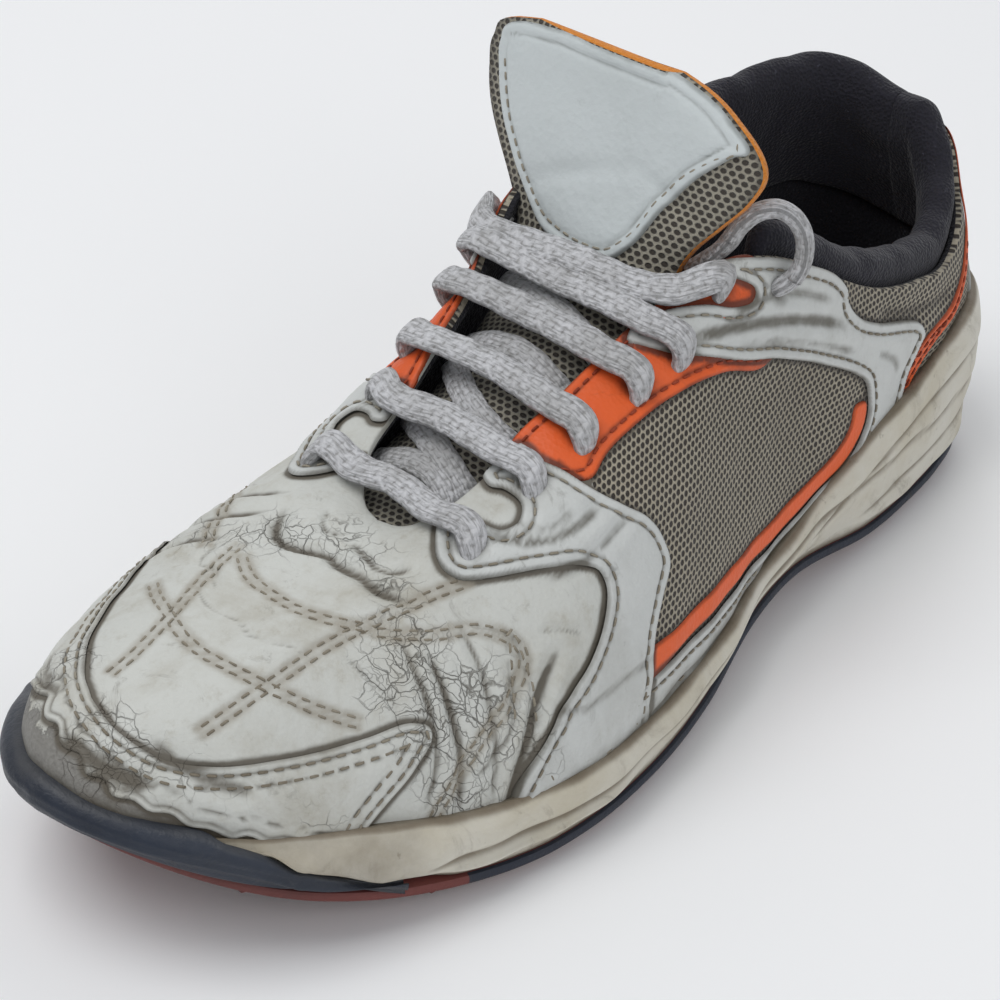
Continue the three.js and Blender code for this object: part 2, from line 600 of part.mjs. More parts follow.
// ---------------------------------------------------------------- materials and assembly
const finish = (color, roughness) => new THREE.MeshStandardMaterial({ color, roughness, metalness: 0 });
const MATERIALS = {
  leather: finish(0xc9c8c3, 0.55),
  midsoleFoam: finish(0xc8c2b2, 0.65),
  bumperRubber: finish(0x2c3a4e, 0.5),
  treadRubber: finish(0x8a4a45, 0.7),
  lining: finish(0x15151f, 0.9),
  tongueLeather: finish(0xc4c7c6, 0.55),
  insoleFoam: finish(0x1b1b24, 0.9),
  lace: finish(0x9b9a98, 0.85),
};
const shoe = new THREE.Group();
function add(name, geometry, material) {
  const mesh = new THREE.Mesh(geometry, MATERIALS[material]);
  mesh.name = name;
  shoe.add(mesh);
}
add('outsole', outsole(), 'treadRubber');
add('midsole', midsole(), 'midsoleFoam');
add('toe_bumper', toeBumper(), 'bumperRubber');
add('upper', upper(), 'leather');
add('collar_pad', collarPad(), 'lining');
add('tongue', tongue(), 'tongueLeather');
add('insole', insole(), 'insoleFoam');
CROSSINGS.forEach((crossing, i) => add(`lace_bar_${i + 1}`, laceBar(crossing), 'lace'));
add('lace_loop', laceLoop(), 'lace');

export default shoe;
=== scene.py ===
# %% [markdown]
# # A worn running shoe for the left foot
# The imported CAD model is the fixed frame. It gives every size and place, and it stays underneath.
# Each part of it is shown here by a denser piece of nearly the same shape, with its creases, seams and
# dirt. Lengths in this lesson are in millimetres along the shoe: `a` runs from the heel's back to the
# toe, `x` to the wearer's left and `z` up. `to_frame` turns them into the frame's metres.

# %% Load the frame
import math
import bpy
import numpy as np
from mathutils import Matrix, Vector
from mathutils.geometry import delaunay_2d_cdt
from mathutils.kdtree import KDTree


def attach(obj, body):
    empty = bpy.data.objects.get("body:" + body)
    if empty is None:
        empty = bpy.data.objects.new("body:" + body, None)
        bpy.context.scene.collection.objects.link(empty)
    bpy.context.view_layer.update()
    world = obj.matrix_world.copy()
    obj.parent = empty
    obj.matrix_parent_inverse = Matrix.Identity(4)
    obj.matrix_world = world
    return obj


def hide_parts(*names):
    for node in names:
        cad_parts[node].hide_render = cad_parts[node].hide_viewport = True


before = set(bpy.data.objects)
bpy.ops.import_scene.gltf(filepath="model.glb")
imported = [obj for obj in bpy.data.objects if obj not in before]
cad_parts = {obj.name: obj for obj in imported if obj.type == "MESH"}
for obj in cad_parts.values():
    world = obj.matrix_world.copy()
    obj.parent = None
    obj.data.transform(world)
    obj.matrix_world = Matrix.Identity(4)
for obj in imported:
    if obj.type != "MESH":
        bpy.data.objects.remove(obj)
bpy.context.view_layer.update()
HALF_LENGTH = 143.5
MIDDLE_X = 5.2
bpy.ops.object.select_all(action="DESELECT")


def to_frame(points):
    points = np.asarray(points, float).reshape(-1, 3)
    return np.stack([points[:, 1] - MIDDLE_X, HALF_LENGTH - points[:, 0], points[:, 2]], axis=1) / 1000


# %% [markdown]
# ## Camera
# A camera could be aimed with a constraint, but a fixed matrix is simpler to check. It stands in front
# of the toe on the outer side, looks down at about a third of a right angle, and is rolled a little.

# %% Camera
AZIMUTH, ELEVATION, ROLL = 38.639, 33.501, 2.596
CAMERA_PLACE = (0.3033, -0.4007, 0.3652)
LENS_MM = 100.555


def camera_axes(azimuth, elevation, roll):
    az, el, turn = (math.radians(v) for v in (azimuth, elevation, roll))
    back = Vector((math.sin(az) * math.cos(el), -math.cos(az) * math.cos(el), math.sin(el)))
    right = Vector((0, 0, 1)).cross(back).normalized()
    up = back.cross(right)
    rolled = right * math.cos(turn) + up * math.sin(turn)
    return rolled, back.cross(rolled), back


def make_camera():
    camera = bpy.data.objects.new("camera", bpy.data.cameras.new("camera"))
    bpy.context.collection.objects.link(camera)
    right, up, back = camera_axes(AZIMUTH, ELEVATION, ROLL)
    turn = Matrix((right, up, back)).transposed().to_4x4()
    camera.matrix_world = Matrix.Translation(CAMERA_PLACE) @ turn
    camera.data.lens = LENS_MM
    camera.data.sensor_width = 36
    camera.data.clip_start = 0.01
    bpy.context.scene.camera = camera
    return camera


camera = make_camera()
print("camera at", tuple(round(v, 3) for v in camera.location))

# %% [markdown]
# ## The last's surface
# A shoe is built round a last. Two numbers find any point of the upper: `tau` goes round the sole's
# edge, from -1 at the heel along the inner side to 0 at the toe and back to 1 at the heel along the
# outer side, and `h` climbs from the bottom edge (0) to the opening (1). Most tables are those that the
# CAD part was made from, so each piece lies where its solid is. The sole's rims, the bumper's top, the
# inset and the waist's swell are some millimetres off, and the tongue's top more, to match the worn shoe.

# %% Tables of the last
LATERAL, MEDIAL = 1, -1
WALL = 2.6
GAP = 0.3
SOLE_STACK = 5.1
RIM_WALL = 2.6
INSOLE = 3.6
OUTLINE = {
    LATERAL: [
        (0, 0), (2.2, 11), (9, 23.5), (19, 31.5), (34, 36), (54, 38.5), (76, 39.5), (98, 39), (122, 42.5),
        (148, 50), (172, 55.2), (194, 57), (212, 55.4), (230, 51), (246, 45), (258, 38.6), (267.5, 31.4),
        (275, 23.5), (281, 14.5), (285.2, 5), (287, -5)],
    MEDIAL: [
        (0, 0), (2.2, -11), (9, -22.5), (19, -29.5), (34, -33), (54, -33.5), (76, -31.5), (98, -30),
        (120, -31.5), (145, -37), (170, -42.5), (194, -46), (214, -46.5), (234, -44.3), (251, -39.4),
        (264, -33.4), (274, -26.6), (281, -19.8), (285.6, -12.4), (287, -5)],
}
OPENING = {
    LATERAL: [
        (0, 6.5, 0, 76), (0.05, 8.5, 11, 76), (0.10, 16, 21.5, 64), (0.15, 31, 28.5, 56.5),
        (0.20, 49, 31.5, 59.5), (0.25, 67, 32.5, 65), (0.30, 82, 31.5, 73), (0.35, 96, 30, 82),
        (0.40, 109, 27, 87.5), (0.45, 121, 21.5, 87), (0.50, 134, 17.5, 81.5), (0.55, 148, 15.5, 75.5),
        (0.60, 162, 15, 70), (0.65, 175, 15, 65), (0.70, 186, 14.5, 60.5), (0.80, 195, 11.5, 56.5),
        (0.90, 199, 8, 55), (1, 200, 2, 54.5)],
    MEDIAL: [
        (0, 6.5, 0, 76), (0.05, 9, -12.5, 80), (0.10, 17, -22.5, 83), (0.15, 31, -29.5, 83),
        (0.20, 48, -32.5, 83), (0.25, 64, -33.5, 83), (0.30, 79, -33.5, 85), (0.35, 92, -33, 88),
        (0.40, 106, -33, 90), (0.45, 120, -30.5, 88.5), (0.50, 134, -25.5, 83.5), (0.55, 148, -20, 77),
        (0.60, 162, -16.5, 71), (0.65, 174, -14.5, 65), (0.70, 184, -12.5, 61), (0.80, 193, -8, 57),
        (0.90, 198, -3, 55), (1, 200, 2, 54.5)],
}
ARCH = {
    LATERAL: [
        (0, 34, 1, 1.6), (0.1, 36, 1, 1.6), (0.2, 40, 1, 1.2), (0.3, 48, 1, 0.6), (0.4, 58, 1, 0),
        (0.5, 66, 1, 0), (0.6, 72, 1, 0), (0.7, 80, 1.15, 0), (0.8, 86, 1.05, 0), (0.9, 90, 0.72, 0),
        (1, 90, 0.55, 0)],
    MEDIAL: [
        (0, 34, 1, 1.6), (0.1, 36, 1, 1.6), (0.2, 38, 1, 1.2), (0.3, 44, 1, 0.6), (0.4, 54, 1, 0),
        (0.5, 62, 1, 0), (0.6, 72, 1.02, 0), (0.7, 80, 0.98, 0), (0.8, 86, 0.78, 0), (0.9, 90, 0.60, 0),
        (1, 90, 0.55, 0)],
}
GROUND = [
    (0, 6.5), (6, 4), (14, 1.2), (23, 0), (58, 0), (70, 0.7), (84, 3), (100, 4.6), (116, 4.2),
    (134, 1.8), (148, 0.4), (158, 0), (206, 0), (217, 0.8), (230, 2.4), (246, 5.6), (260, 10),
    (272, 16), (281, 22), (287, 27)]
FOOTBED = [
    (0, 22), (30, 21), (60, 20.5), (100, 19), (130, 16), (160, 14), (200, 13), (230, 15), (260, 21),
    (287, 31)]
RIM = {
    LATERAL: [
        (0, 44), (0.06, 43.5), (0.10, 43), (0.15, 41), (0.20, 37.5), (0.27, 32.5), (0.32, 27), (0.38, 21.8),
        (0.45, 19.2), (0.52, 17.6), (0.60, 16.9), (0.68, 17.8), (0.75, 21), (0.80, 24.5), (0.86, 26.5),
        (0.93, 29.5), (1, 33.5)],
    MEDIAL: [
        (0, 44), (0.06, 43.5), (0.10, 43), (0.15, 41), (0.20, 39), (0.27, 37), (0.32, 35), (0.38, 31),
        (0.45, 27), (0.52, 24), (0.60, 22), (0.68, 21.5), (0.75, 23), (0.80, 25.5), (0.86, 28.5),
        (0.93, 32), (1, 33.5)],
}
BUMPER_START = 0.78
BUMPER_TOP = {
    LATERAL: [
        (0.78, 8), (0.80, 11.5), (0.835, 18), (0.865, 25), (0.89, 28.5), (0.93, 31), (0.97, 33.5),
        (1, 35.5)],
    MEDIAL: [
        (0.78, 8), (0.80, 12.5), (0.83, 20), (0.86, 27.5), (0.90, 32.5), (0.95, 35), (1, 35.5)],
}
INSET = [(0, 4.2), (0.2, 4), (0.4, 4), (0.6, 3.8), (0.75, 4), (0.85, 4.6), (1, 4.2)]
UNDERCUT = [(0, 2.4), (0.7, 2.2), (0.8, 4), (0.9, 6.5), (1, 7.5)]
BUMPER_THICK = [(0.78, 1.6), (0.85, 2.4), (1, 3)]
# The upper hangs a little over the sole at the outer side's waist, most at one level.
WAIST_SWELL = {
    LATERAL: [(0, 0), (0.2, 0), (0.28, 1.2), (0.36, 3), (0.46, 3.2), (0.55, 1.6), (0.64, 0), (1, 0)],
    MEDIAL: [(0, 0), (1, 0)],
}
SWELL_LEVEL, SWELL_SPREAD = 0.08, 0.26


# %% Smooth tables and the sole's edge
def smooth(rows, t):
    rows = np.asarray(rows, float)
    place, value = rows[:, 0], rows[:, 1:]
    step = np.diff(place)
    rise = np.diff(value, axis=0) / step[:, None]
    slope = np.empty_like(value)
    slope[0], slope[-1] = rise[0], rise[-1]
    weight = (step[1:] + step[:-1])[:, None]
    slope[1:-1] = (rise[:-1] * step[1:, None] + rise[1:] * step[:-1, None]) / weight
    t = np.clip(np.atleast_1d(np.asarray(t, float)), place[0], place[-1])
    i = np.clip(np.searchsorted(place, t, side="right") - 1, 0, len(step) - 1)
    u, s = ((t - place[i]) / step[i])[:, None], step[i][:, None]
    ends = (2 * u**3 - 3 * u**2 + 1) * value[i] + (3 * u**2 - 2 * u**3) * value[i + 1]
    return ends + (u**3 - 2 * u**2 + u) * s * slope[i] + (u**3 - u**2) * s * slope[i + 1]


def curve(rows, t):
    return smooth(rows, t)[:, 0]


def bell(gap, width):
    return np.exp(-((gap / width) ** 2))


def run_in_plane(points):
    return np.r_[0, np.cumsum(np.hypot(*np.diff(points, axis=0).T))]


def run_along(points):
    return np.r_[0, np.cumsum(np.linalg.norm(np.diff(points, axis=0), axis=1))]


def resample(places, run, points):
    return np.stack([np.interp(places, run, column) for column in points.T], axis=1)


def arc_length_table(points):
    points = np.asarray(points, float)
    chord = run_in_plane(points)
    dense = smooth(np.c_[chord, points], np.linspace(0, chord[-1], 600))
    run = run_in_plane(dense)
    return np.c_[run / run[-1], dense]


EDGE = {side: arc_length_table(OUTLINE[side]) for side in (LATERAL, MEDIAL)}


def wrap(tau):
    return (np.atleast_1d(np.asarray(tau, float)) + 1) % 2 - 1


def t_of(tau):
    return 1 - np.abs(wrap(tau))


def sided(tables, tau):
    outer = (wrap(tau) >= 0)[:, None]
    return np.where(outer, smooth(tables[LATERAL], t_of(tau)), smooth(tables[MEDIAL], t_of(tau)))


def edge_point(tau):
    place = {side: resample(t_of(tau), table[:, 0], table[:, 1:]) for side, table in EDGE.items()}
    return np.where((wrap(tau) >= 0)[:, None], place[LATERAL], place[MEDIAL])


def outward(tau):
    step = 0.012
    along = edge_point(np.asarray(tau) + step) - edge_point(np.asarray(tau) - step)
    along /= np.linalg.norm(along, axis=1)[:, None]
    return np.stack([along[:, 1], -along[:, 0]], axis=1)


def ring(tau, inset):
    return edge_point(tau) - outward(tau) * np.reshape(inset, (-1, 1))


# %% The upper's surface and its normal
def bottom_height(tau):
    foot = ring(tau, curve(INSET, t_of(tau)))
    return curve(FOOTBED, foot[:, 0]) + GAP


def last_surface(tau, h):
    tau, h = np.broadcast_arrays(np.atleast_1d(tau), np.atleast_1d(h))
    foot = ring(tau, curve(INSET, t_of(tau)))
    low = curve(FOOTBED, foot[:, 0]) + GAP
    opening = sided(OPENING, tau)
    turn, power, bulge = sided(ARCH, tau).T
    full = np.radians(turn)
    inwards = (1 - np.cos(full * h)) / (1 - np.cos(full))
    upwards = np.maximum(np.sin(full * h) / np.sin(full), 0) ** power
    swell = sided(WAIST_SWELL, tau)[:, 0] * bell(h - SWELL_LEVEL, SWELL_SPREAD)
    push = bulge * np.sin(np.pi * np.minimum(h, 1)) + swell
    plan = foot + (opening[:, :2] - foot) * inwards[:, None] + outward(tau) * push[:, None]
    return np.c_[plan, low + (opening[:, 2] - low) * upwards]


def slopes(tau, h):
    step = 0.004
    along = last_surface(tau + step, h) - last_surface(tau - step, h)
    high, low = np.minimum(h + step, 1.02), np.maximum(h - step, 0.002)
    climb = (last_surface(tau, high) - last_surface(tau, low)) / (high - low)[:, None]
    return along / (2 * step), climb


def unit(vectors):
    return vectors / np.maximum(np.linalg.norm(vectors, axis=-1, keepdims=True), 1e-9)


def skin(tau, h, off=0.0):
    tau, h, off = np.broadcast_arrays(np.atleast_1d(tau), np.atleast_1d(h), np.atleast_1d(off))
    normal = unit(np.cross(*slopes(tau, h)))
    return last_surface(tau, h) + normal * off[:, None], normal


def h_at_height(tau, height):
    low, top = bottom_height(tau), sided(OPENING, tau)[:, 2]
    turn, power, _ = sided(ARCH, tau).T
    full = np.radians(turn)
    share = np.clip((height - low) / (top - low), 0, 1)
    return np.arcsin(share ** (1 / power) * np.sin(full)) / full


print("toe middle", last_surface(0.0, 1.0).round(1), "ball", last_surface(0.4, 0.5).round(1))

# %% [markdown]
# ## Lace: the free loop
# The only free piece of cord is the short turn beside the tongue. It comes from behind the tongue's
# edge, lies over the collar and goes into the top eyelet. A curve with a bevel would do, but a woven
# sleeve needs a map that follows it, so it is a tube whose rings are placed along the route.

# %% Tube along a route
SEED = 7
rng = np.random.default_rng(SEED)


def along_route(route, steps):
    route = np.asarray(route, float)
    chord = run_along(route)
    dense = smooth(np.c_[chord, route], np.linspace(0, chord[-1], 40 * len(route)))
    run = run_along(dense)
    even = np.linspace(0, run[-1], steps + 1)
    return resample(even, run, dense), even


def tube_rings(middle, across, width, thick, around, squareness=0.8):
    run = unit(np.gradient(middle, axis=0))
    side = unit(across - run * np.sum(across * run, axis=1, keepdims=True))
    up = np.cross(run, side)
    angle = 2 * np.pi * np.arange(around) / around
    c, s = np.cos(angle), np.sin(angle)
    c, s = np.sign(c) * np.abs(c) ** squareness, np.sign(s) * np.abs(s) ** squareness
    width, thick = (np.broadcast_to(v, len(middle))[:, None, None] for v in (width, thick))
    rings = middle[:, None] + side[:, None] * (c[None, :, None] * width / 2)
    return rings + up[:, None] * (s[None, :, None] * thick / 2)


def band_faces(rows, count, closed_rows=False):
    r, i = np.meshgrid(np.arange(rows if closed_rows else rows - 1), np.arange(count), indexing="ij")
    j, n = (i + 1) % count, (r + 1) % rows
    quads = np.stack([r * count + i, r * count + j, n * count + j, n * count + i], axis=-1)
    return quads.reshape(-1, 4).tolist()


def capped_tube(rings):
    rows, count = rings.shape[:2]
    faces = band_faces(rows, count)
    points = np.concatenate([rings.reshape(-1, 3), rings[0].mean(0)[None], rings[-1].mean(0)[None]])
    first, last = rows * count, rows * count + 1
    for i in range(count):
        j = (i + 1) % count
        faces.append([j, i, first])
        faces.append([(rows - 1) * count + i, (rows - 1) * count + j, last])
    return points, faces


def sleeve_map(run, around):
    u = np.r_[np.repeat(run, around), 0, run[-1]] / 1000
    v = np.r_[np.tile(np.arange(around) / around, len(run)), 0, 0]
    return np.c_[u, v]


# %% Making a piece from points and faces
def is_inside_out(mesh):
    mesh.calc_loop_triangles()
    where = np.empty(len(mesh.vertices) * 3)
    mesh.vertices.foreach_get("co", where)
    corners = np.empty(len(mesh.loop_triangles) * 3, int)
    mesh.loop_triangles.foreach_get("vertices", corners)
    p, q, r = (where.reshape(-1, 3)[corners.reshape(-1, 3)[:, k]] for k in range(3))
    return np.einsum("ij,ij->i", p, np.cross(q, r)).sum() < 0


def make_piece(name, points, faces, materials, slot, replaced=(), face_material=None, uv=None, **spots):
    mesh = bpy.data.meshes.new(name)
    mesh.from_pydata(to_frame(points).tolist(), [], faces)
    piece = bpy.data.objects.new(name, mesh)
    bpy.context.collection.objects.link(piece)
    for one in materials:
        mesh.materials.append(one)
    if face_material is not None:
        mesh.polygons.foreach_set("material_index", np.asarray(face_material, np.int32))
    if uv is not None:
        corner = np.empty(len(mesh.loops), int)
        mesh.loops.foreach_get("vertex_index", corner)
        layer = mesh.uv_layers.new(name="cloth")
        layer.data.foreach_set("uv", np.asarray(uv, float)[corner].ravel())
    for label, values in spots.items():
        values = np.asarray(values, np.float32)
        mesh.attributes.new(label, "FLOAT", "POINT").data.foreach_set("value", values)
    if is_inside_out(mesh):
        mesh.flip_normals()
    mesh.shade_smooth()
    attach(piece, "root")
    if replaced:
        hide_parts(*replaced)
    triangles = sum(len(p.vertices) - 2 for p in mesh.polygons)
    print(f"{name}: {len(mesh.vertices)} points, {triangles} triangles")
    return piece


# %% [markdown]
# ## Finishes
# Every finish is made of nodes. Noise in Object coordinates stays put on the piece, the mesh cloth and
# the lace's sleeve use the piece's own map, and the attributes `grime`, `crackle`, `bare` and `seam`
# are painted on the points by code. The first darkens where the dirt gathers and also paints shade into
# folds, grooves, eyelet dents, panel edges and the joins between parts; the second marks where the
# coating has cracked.

# %% Node helpers
def start_material(name):
    material = bpy.data.materials.new(name)
    material.use_nodes = True
    tree = material.node_tree
    tree.nodes.clear()
    shader = tree.nodes.new("ShaderNodeBsdfPrincipled")
    output = tree.nodes.new("ShaderNodeOutputMaterial")
    tree.links.new(shader.outputs[0], output.inputs[0])
    return material, tree, shader


def put(tree, kind, sockets, **settings):
    node = tree.nodes.new("ShaderNode" + kind)
    for key, value in settings.items():
        setattr(node, key, value)
    for key, value in sockets.items():
        if isinstance(value, bpy.types.NodeSocket):
            tree.links.new(value, node.inputs[key])
        else:
            node.inputs[key].default_value = value
    return node


def calc(tree, operation, *values, clamp=False):
    sockets = dict(enumerate(values))
    return put(tree, "Math", sockets, operation=operation, use_clamp=clamp).outputs[0]


def times(tree, first, second):
    return calc(tree, "MULTIPLY", first, second)


def ease(tree, value, low, high, start=0.0, end=1.0):
    sockets = {0: value, 1: low, 2: high, 3: start, 4: end}
    return put(tree, "MapRange", sockets, interpolation_type="SMOOTHSTEP").outputs[0]


def blend(tree, share, first, second):
    node = tree.nodes.new("ShaderNodeMix")
    node.data_type = "RGBA"
    for index, value in ((0, share), (6, first), (7, second)):
        if isinstance(value, bpy.types.NodeSocket):
            tree.links.new(value, node.inputs[index])
        else:
            node.inputs[index].default_value = value if index == 0 else (*value, 1)
    return node.outputs[2]


def noise(tree, where, scale, detail=4.0, rough=0.55, warp=0.0):
    sockets = {"Vector": where, "Scale": scale, "Detail": detail, "Roughness": rough, "Distortion": warp}
    return put(tree, "TexNoise", sockets).outputs["Fac"]


def cells(tree, where, scale, feature="DISTANCE_TO_EDGE"):
    return put(tree, "TexVoronoi", {"Vector": where, "Scale": scale}, feature=feature).outputs["Distance"]


def spot(tree, label):
    return put(tree, "Attribute", {}, attribute_name=label).outputs["Fac"]


def patches(tree, where, low, high, *look):
    return ease(tree, noise(tree, where, *look), low, high)


def stained(tree, colour, share, amount, stain):
    return blend(tree, times(tree, share, amount), colour, stain)


# Blends towards the dark grime colour where noise plus the point attribute is high: dirt, and painted shade
# in folds, grooves, at panel edges and at joins.
def soiled_and_shaded(tree, where, colour, grime, scale, share, *ramp):
    dirty = calc(tree, "MULTIPLY_ADD", noise(tree, where, scale, 4.0), share, spot(tree, "grime"))
    return blend(tree, ease(tree, dirty, *ramp), colour, grime)


def cloth_map(tree):
    flat = put(tree, "UVMap", {}, uv_map="cloth").outputs[0]
    return flat, *put(tree, "SeparateXYZ", {0: flat}).outputs[:2]


def dress(tree, shader, colour, rough, sheen=0.0):
    tree.links.new(colour, shader.inputs["Base Color"])
    shader.inputs["Roughness"].default_value = rough
    shader.inputs["Sheen Weight"].default_value = sheen


def object_place(tree):
    return put(tree, "TexCoord", {}).outputs["Object"]


def bump(tree, shader, height, strength, depth):
    sockets = {"Strength": strength, "Distance": depth, "Height": height}
    tree.links.new(put(tree, "Bump", sockets).outputs[0], shader.inputs["Normal"])


def srgb(*levels):
    return tuple(((v / 255 + 0.055) / 1.055) ** 2.4 if v > 10 else v / 3294.6 for v in levels)


# %% Leather
def crack_lines(tree, where):
    warp = put(tree, "TexNoise", {"Vector": where, "Scale": 130.0, "Detail": 3.0}).outputs["Color"]
    shift = put(tree, "VectorMath", {0: warp, 1: (0.5, 0.5, 0.5)}, operation="SUBTRACT").outputs[0]
    scaled = put(tree, "VectorMath", {0: shift, "Scale": 0.009}, operation="SCALE").outputs[0]
    bent = put(tree, "VectorMath", {0: where, 1: scaled}, operation="ADD").outputs[0]
    amount = spot(tree, "crackle")
    patch = noise(tree, where, 90.0, 3.0)
    spread = calc(tree, "ADD", amount, calc(tree, "MULTIPLY_ADD", patch, 0.9, -0.52))
    wide = ease(tree, cells(tree, bent, 190.0), 0.0, 0.034, 1.0, 0.0)
    fine = ease(tree, cells(tree, bent, 460.0), 0.0, 0.05, 1.0, 0.0)
    wide = times(tree, wide, ease(tree, spread, 0.3, 0.85))
    fine = times(tree, fine, ease(tree, spread, 0.45, 1.0, 0.0, 0.7))
    return calc(tree, "MAXIMUM", wide, fine)


def leather(name, clean, soiled, grime, rough=0.52, crack=None, grain=900.0, bare=None, seam=None, darkening=1.0):
    material, tree, shader = start_material(name)
    where = object_place(tree)
    blotch = patches(tree, where, 0.42, 0.72, 34.0, 7.0, 0.66, 0.4)
    speck = patches(tree, where, 0.52, 0.78, 260.0, 5.0, 0.7)
    mark = patches(tree, where, 0.58, 0.74, 75.0, 8.0, 0.75, 1.2)
    share = calc(tree, "MULTIPLY_ADD", speck, 0.35 * darkening, times(tree, blotch, 0.55 * darkening))
    colour = blend(tree, calc(tree, "MULTIPLY", share, 1.0, clamp=True), clean, soiled)
    colour = stained(tree, colour, mark, 0.4 * darkening, grime)
    pits = cells(tree, where, grain, "F1")
    grains = noise(tree, where, 420.0, 5.0, 0.6)
    height = calc(tree, "MULTIPLY_ADD", grains, 0.5, times(tree, pits, 0.22))
    if bare:
        worn = calc(tree, "ADD", spot(tree, "bare"), noise(tree, where, 210.0, 6.0, 0.7))
        worn = ease(tree, worn, 1.02, 1.1)
        fibre = blend(tree, noise(tree, where, 1500.0, 2.0), bare, srgb(148, 146, 140))
        colour = blend(tree, worn, colour, fibre)
        height = calc(tree, "MULTIPLY_ADD", worn, -0.8, height)
    # Dirt and painted shade from the point attribute: folds, eyelet dents, panel edges, stitch grooves and
    # joins go darker.
    colour = soiled_and_shaded(tree, where, colour, grime, 190.0, 0.5, 0.36, 1.05, 0.0, 0.93)
    if seam:
        band = times(tree, spot(tree, "seam"), noise(tree, where, 160.0, 3.0))
        colour = blend(tree, ease(tree, band, 0.06, 0.62, 0.0, 0.78), colour, seam)
    if crack:
        lines = crack_lines(tree, where)
        colour = stained(tree, colour, lines, 0.72, crack)
        height = calc(tree, "MULTIPLY_ADD", lines, -1.3, height)
    tree.links.new(colour, shader.inputs["Base Color"])
    gloss = calc(tree, "MULTIPLY_ADD", blotch, 0.16, rough)
    tree.links.new(gloss, shader.inputs["Roughness"])
    shader.inputs["Specular IOR Level"].default_value = 0.4
    bump(tree, shader, height, 0.75, 0.0005)
    return material


VAMP_LEATHER = leather("vamp leather", srgb(204, 205, 199), srgb(170, 165, 150), srgb(92, 85, 73), darkening=1.25,
                       crack=srgb(78, 70, 59), bare=srgb(108, 105, 100), seam=srgb(156, 149, 135))
PANEL_LEATHER = leather("panel leather", srgb(205, 207, 204), srgb(178, 178, 172), srgb(98, 94, 84),
                        rough=0.46, crack=srgb(96, 90, 80), darkening=1.05)
ORANGE_LEATHER = leather("orange leather", srgb(232, 98, 42), srgb(214, 104, 62), srgb(96, 46, 30),
                         rough=0.45, crack=srgb(90, 40, 26), darkening=0.8)
SHIELD_LEATHER = leather("tongue leather", srgb(203, 209, 209), srgb(186, 192, 191), srgb(120, 122, 118),
                         rough=0.5, grain=620.0, darkening=0.6)


# %% Mesh cloth
def mesh_cloth(name, thread, shade, hole, pitch, open_share):
    material, tree, shader = start_material(name)
    _, across, along = cloth_map(tree)
    where = object_place(tree)
    u = calc(tree, "DIVIDE", across, pitch[0])
    v = calc(tree, "DIVIDE", along, pitch[1])
    odd = times(tree, calc(tree, "FLOORED_MODULO", calc(tree, "FLOOR", v), 2.0), 0.5)
    du = calc(tree, "SUBTRACT", calc(tree, "FRACT", calc(tree, "ADD", u, odd)), 0.5)
    dv = calc(tree, "SUBTRACT", calc(tree, "FRACT", v), 0.5)
    squares = []
    for way, share in ((du, open_share[0]), (dv, open_share[1])):
        squares.append(calc(tree, "POWER", calc(tree, "DIVIDE", calc(tree, "ABSOLUTE", way), share), 2.0))
    radius = calc(tree, "SQRT", calc(tree, "ADD", *squares))
    # The holes are only colour: the dark hole colour paints the backing seen through them together with the
    # shade inside them.
    gap = ease(tree, radius, 0.72, 1.12, 1.0, 0.0)
    weave = noise(tree, where, 1800.0, 2.0)
    colour = blend(tree, weave, thread, shade)
    colour = stained(tree, colour, patches(tree, where, 0.4, 0.7, 30.0, 5.0, 0.6), 0.5, shade)
    # Where the point attribute is high, at panel edges, near the sole and in folds, the cloth goes towards
    # the hole colour: painted shade together with dirt.
    colour = blend(tree, ease(tree, spot(tree, "grime"), 0.2, 1.0, 0.0, 0.75), colour, hole)
    dress(tree, shader, blend(tree, gap, colour, hole), 0.8, 0.15)
    height = calc(tree, "MULTIPLY_ADD", gap, -1.0, times(tree, weave, 0.3))
    bump(tree, shader, height, 1.0, 0.0007)
    return material


SIDE_MESH = mesh_cloth("side mesh", srgb(182, 174, 155), srgb(142, 133, 116), srgb(48, 41, 34),
                       (0.00175, 0.0015), (0.39, 0.41))
FINE_MESH = mesh_cloth("fine mesh", srgb(172, 164, 146), srgb(134, 125, 108), srgb(58, 50, 42),
                       (0.0026, 0.00105), (0.41, 0.30))
TONGUE_MESH = mesh_cloth("tongue mesh", srgb(174, 169, 154), srgb(136, 130, 116), srgb(58, 52, 45),
                         (0.0019, 0.0014), (0.37, 0.40))


# %% Lining, foam, rubber, lace and thread
def lining_cloth(name, dark, light):
    material, tree, shader = start_material(name)
    where = object_place(tree)
    weave = cells(tree, where, 1300.0, "F1")
    lint = patches(tree, where, 0.66, 0.74, 700.0, 2.0)
    colour = stained(tree, dark, weave, 0.6, light)
    dress(tree, shader, stained(tree, colour, lint, 0.35, srgb(86, 86, 98)), 0.85, 0.12)
    bump(tree, shader, weave, 0.7, 0.0005)
    return material


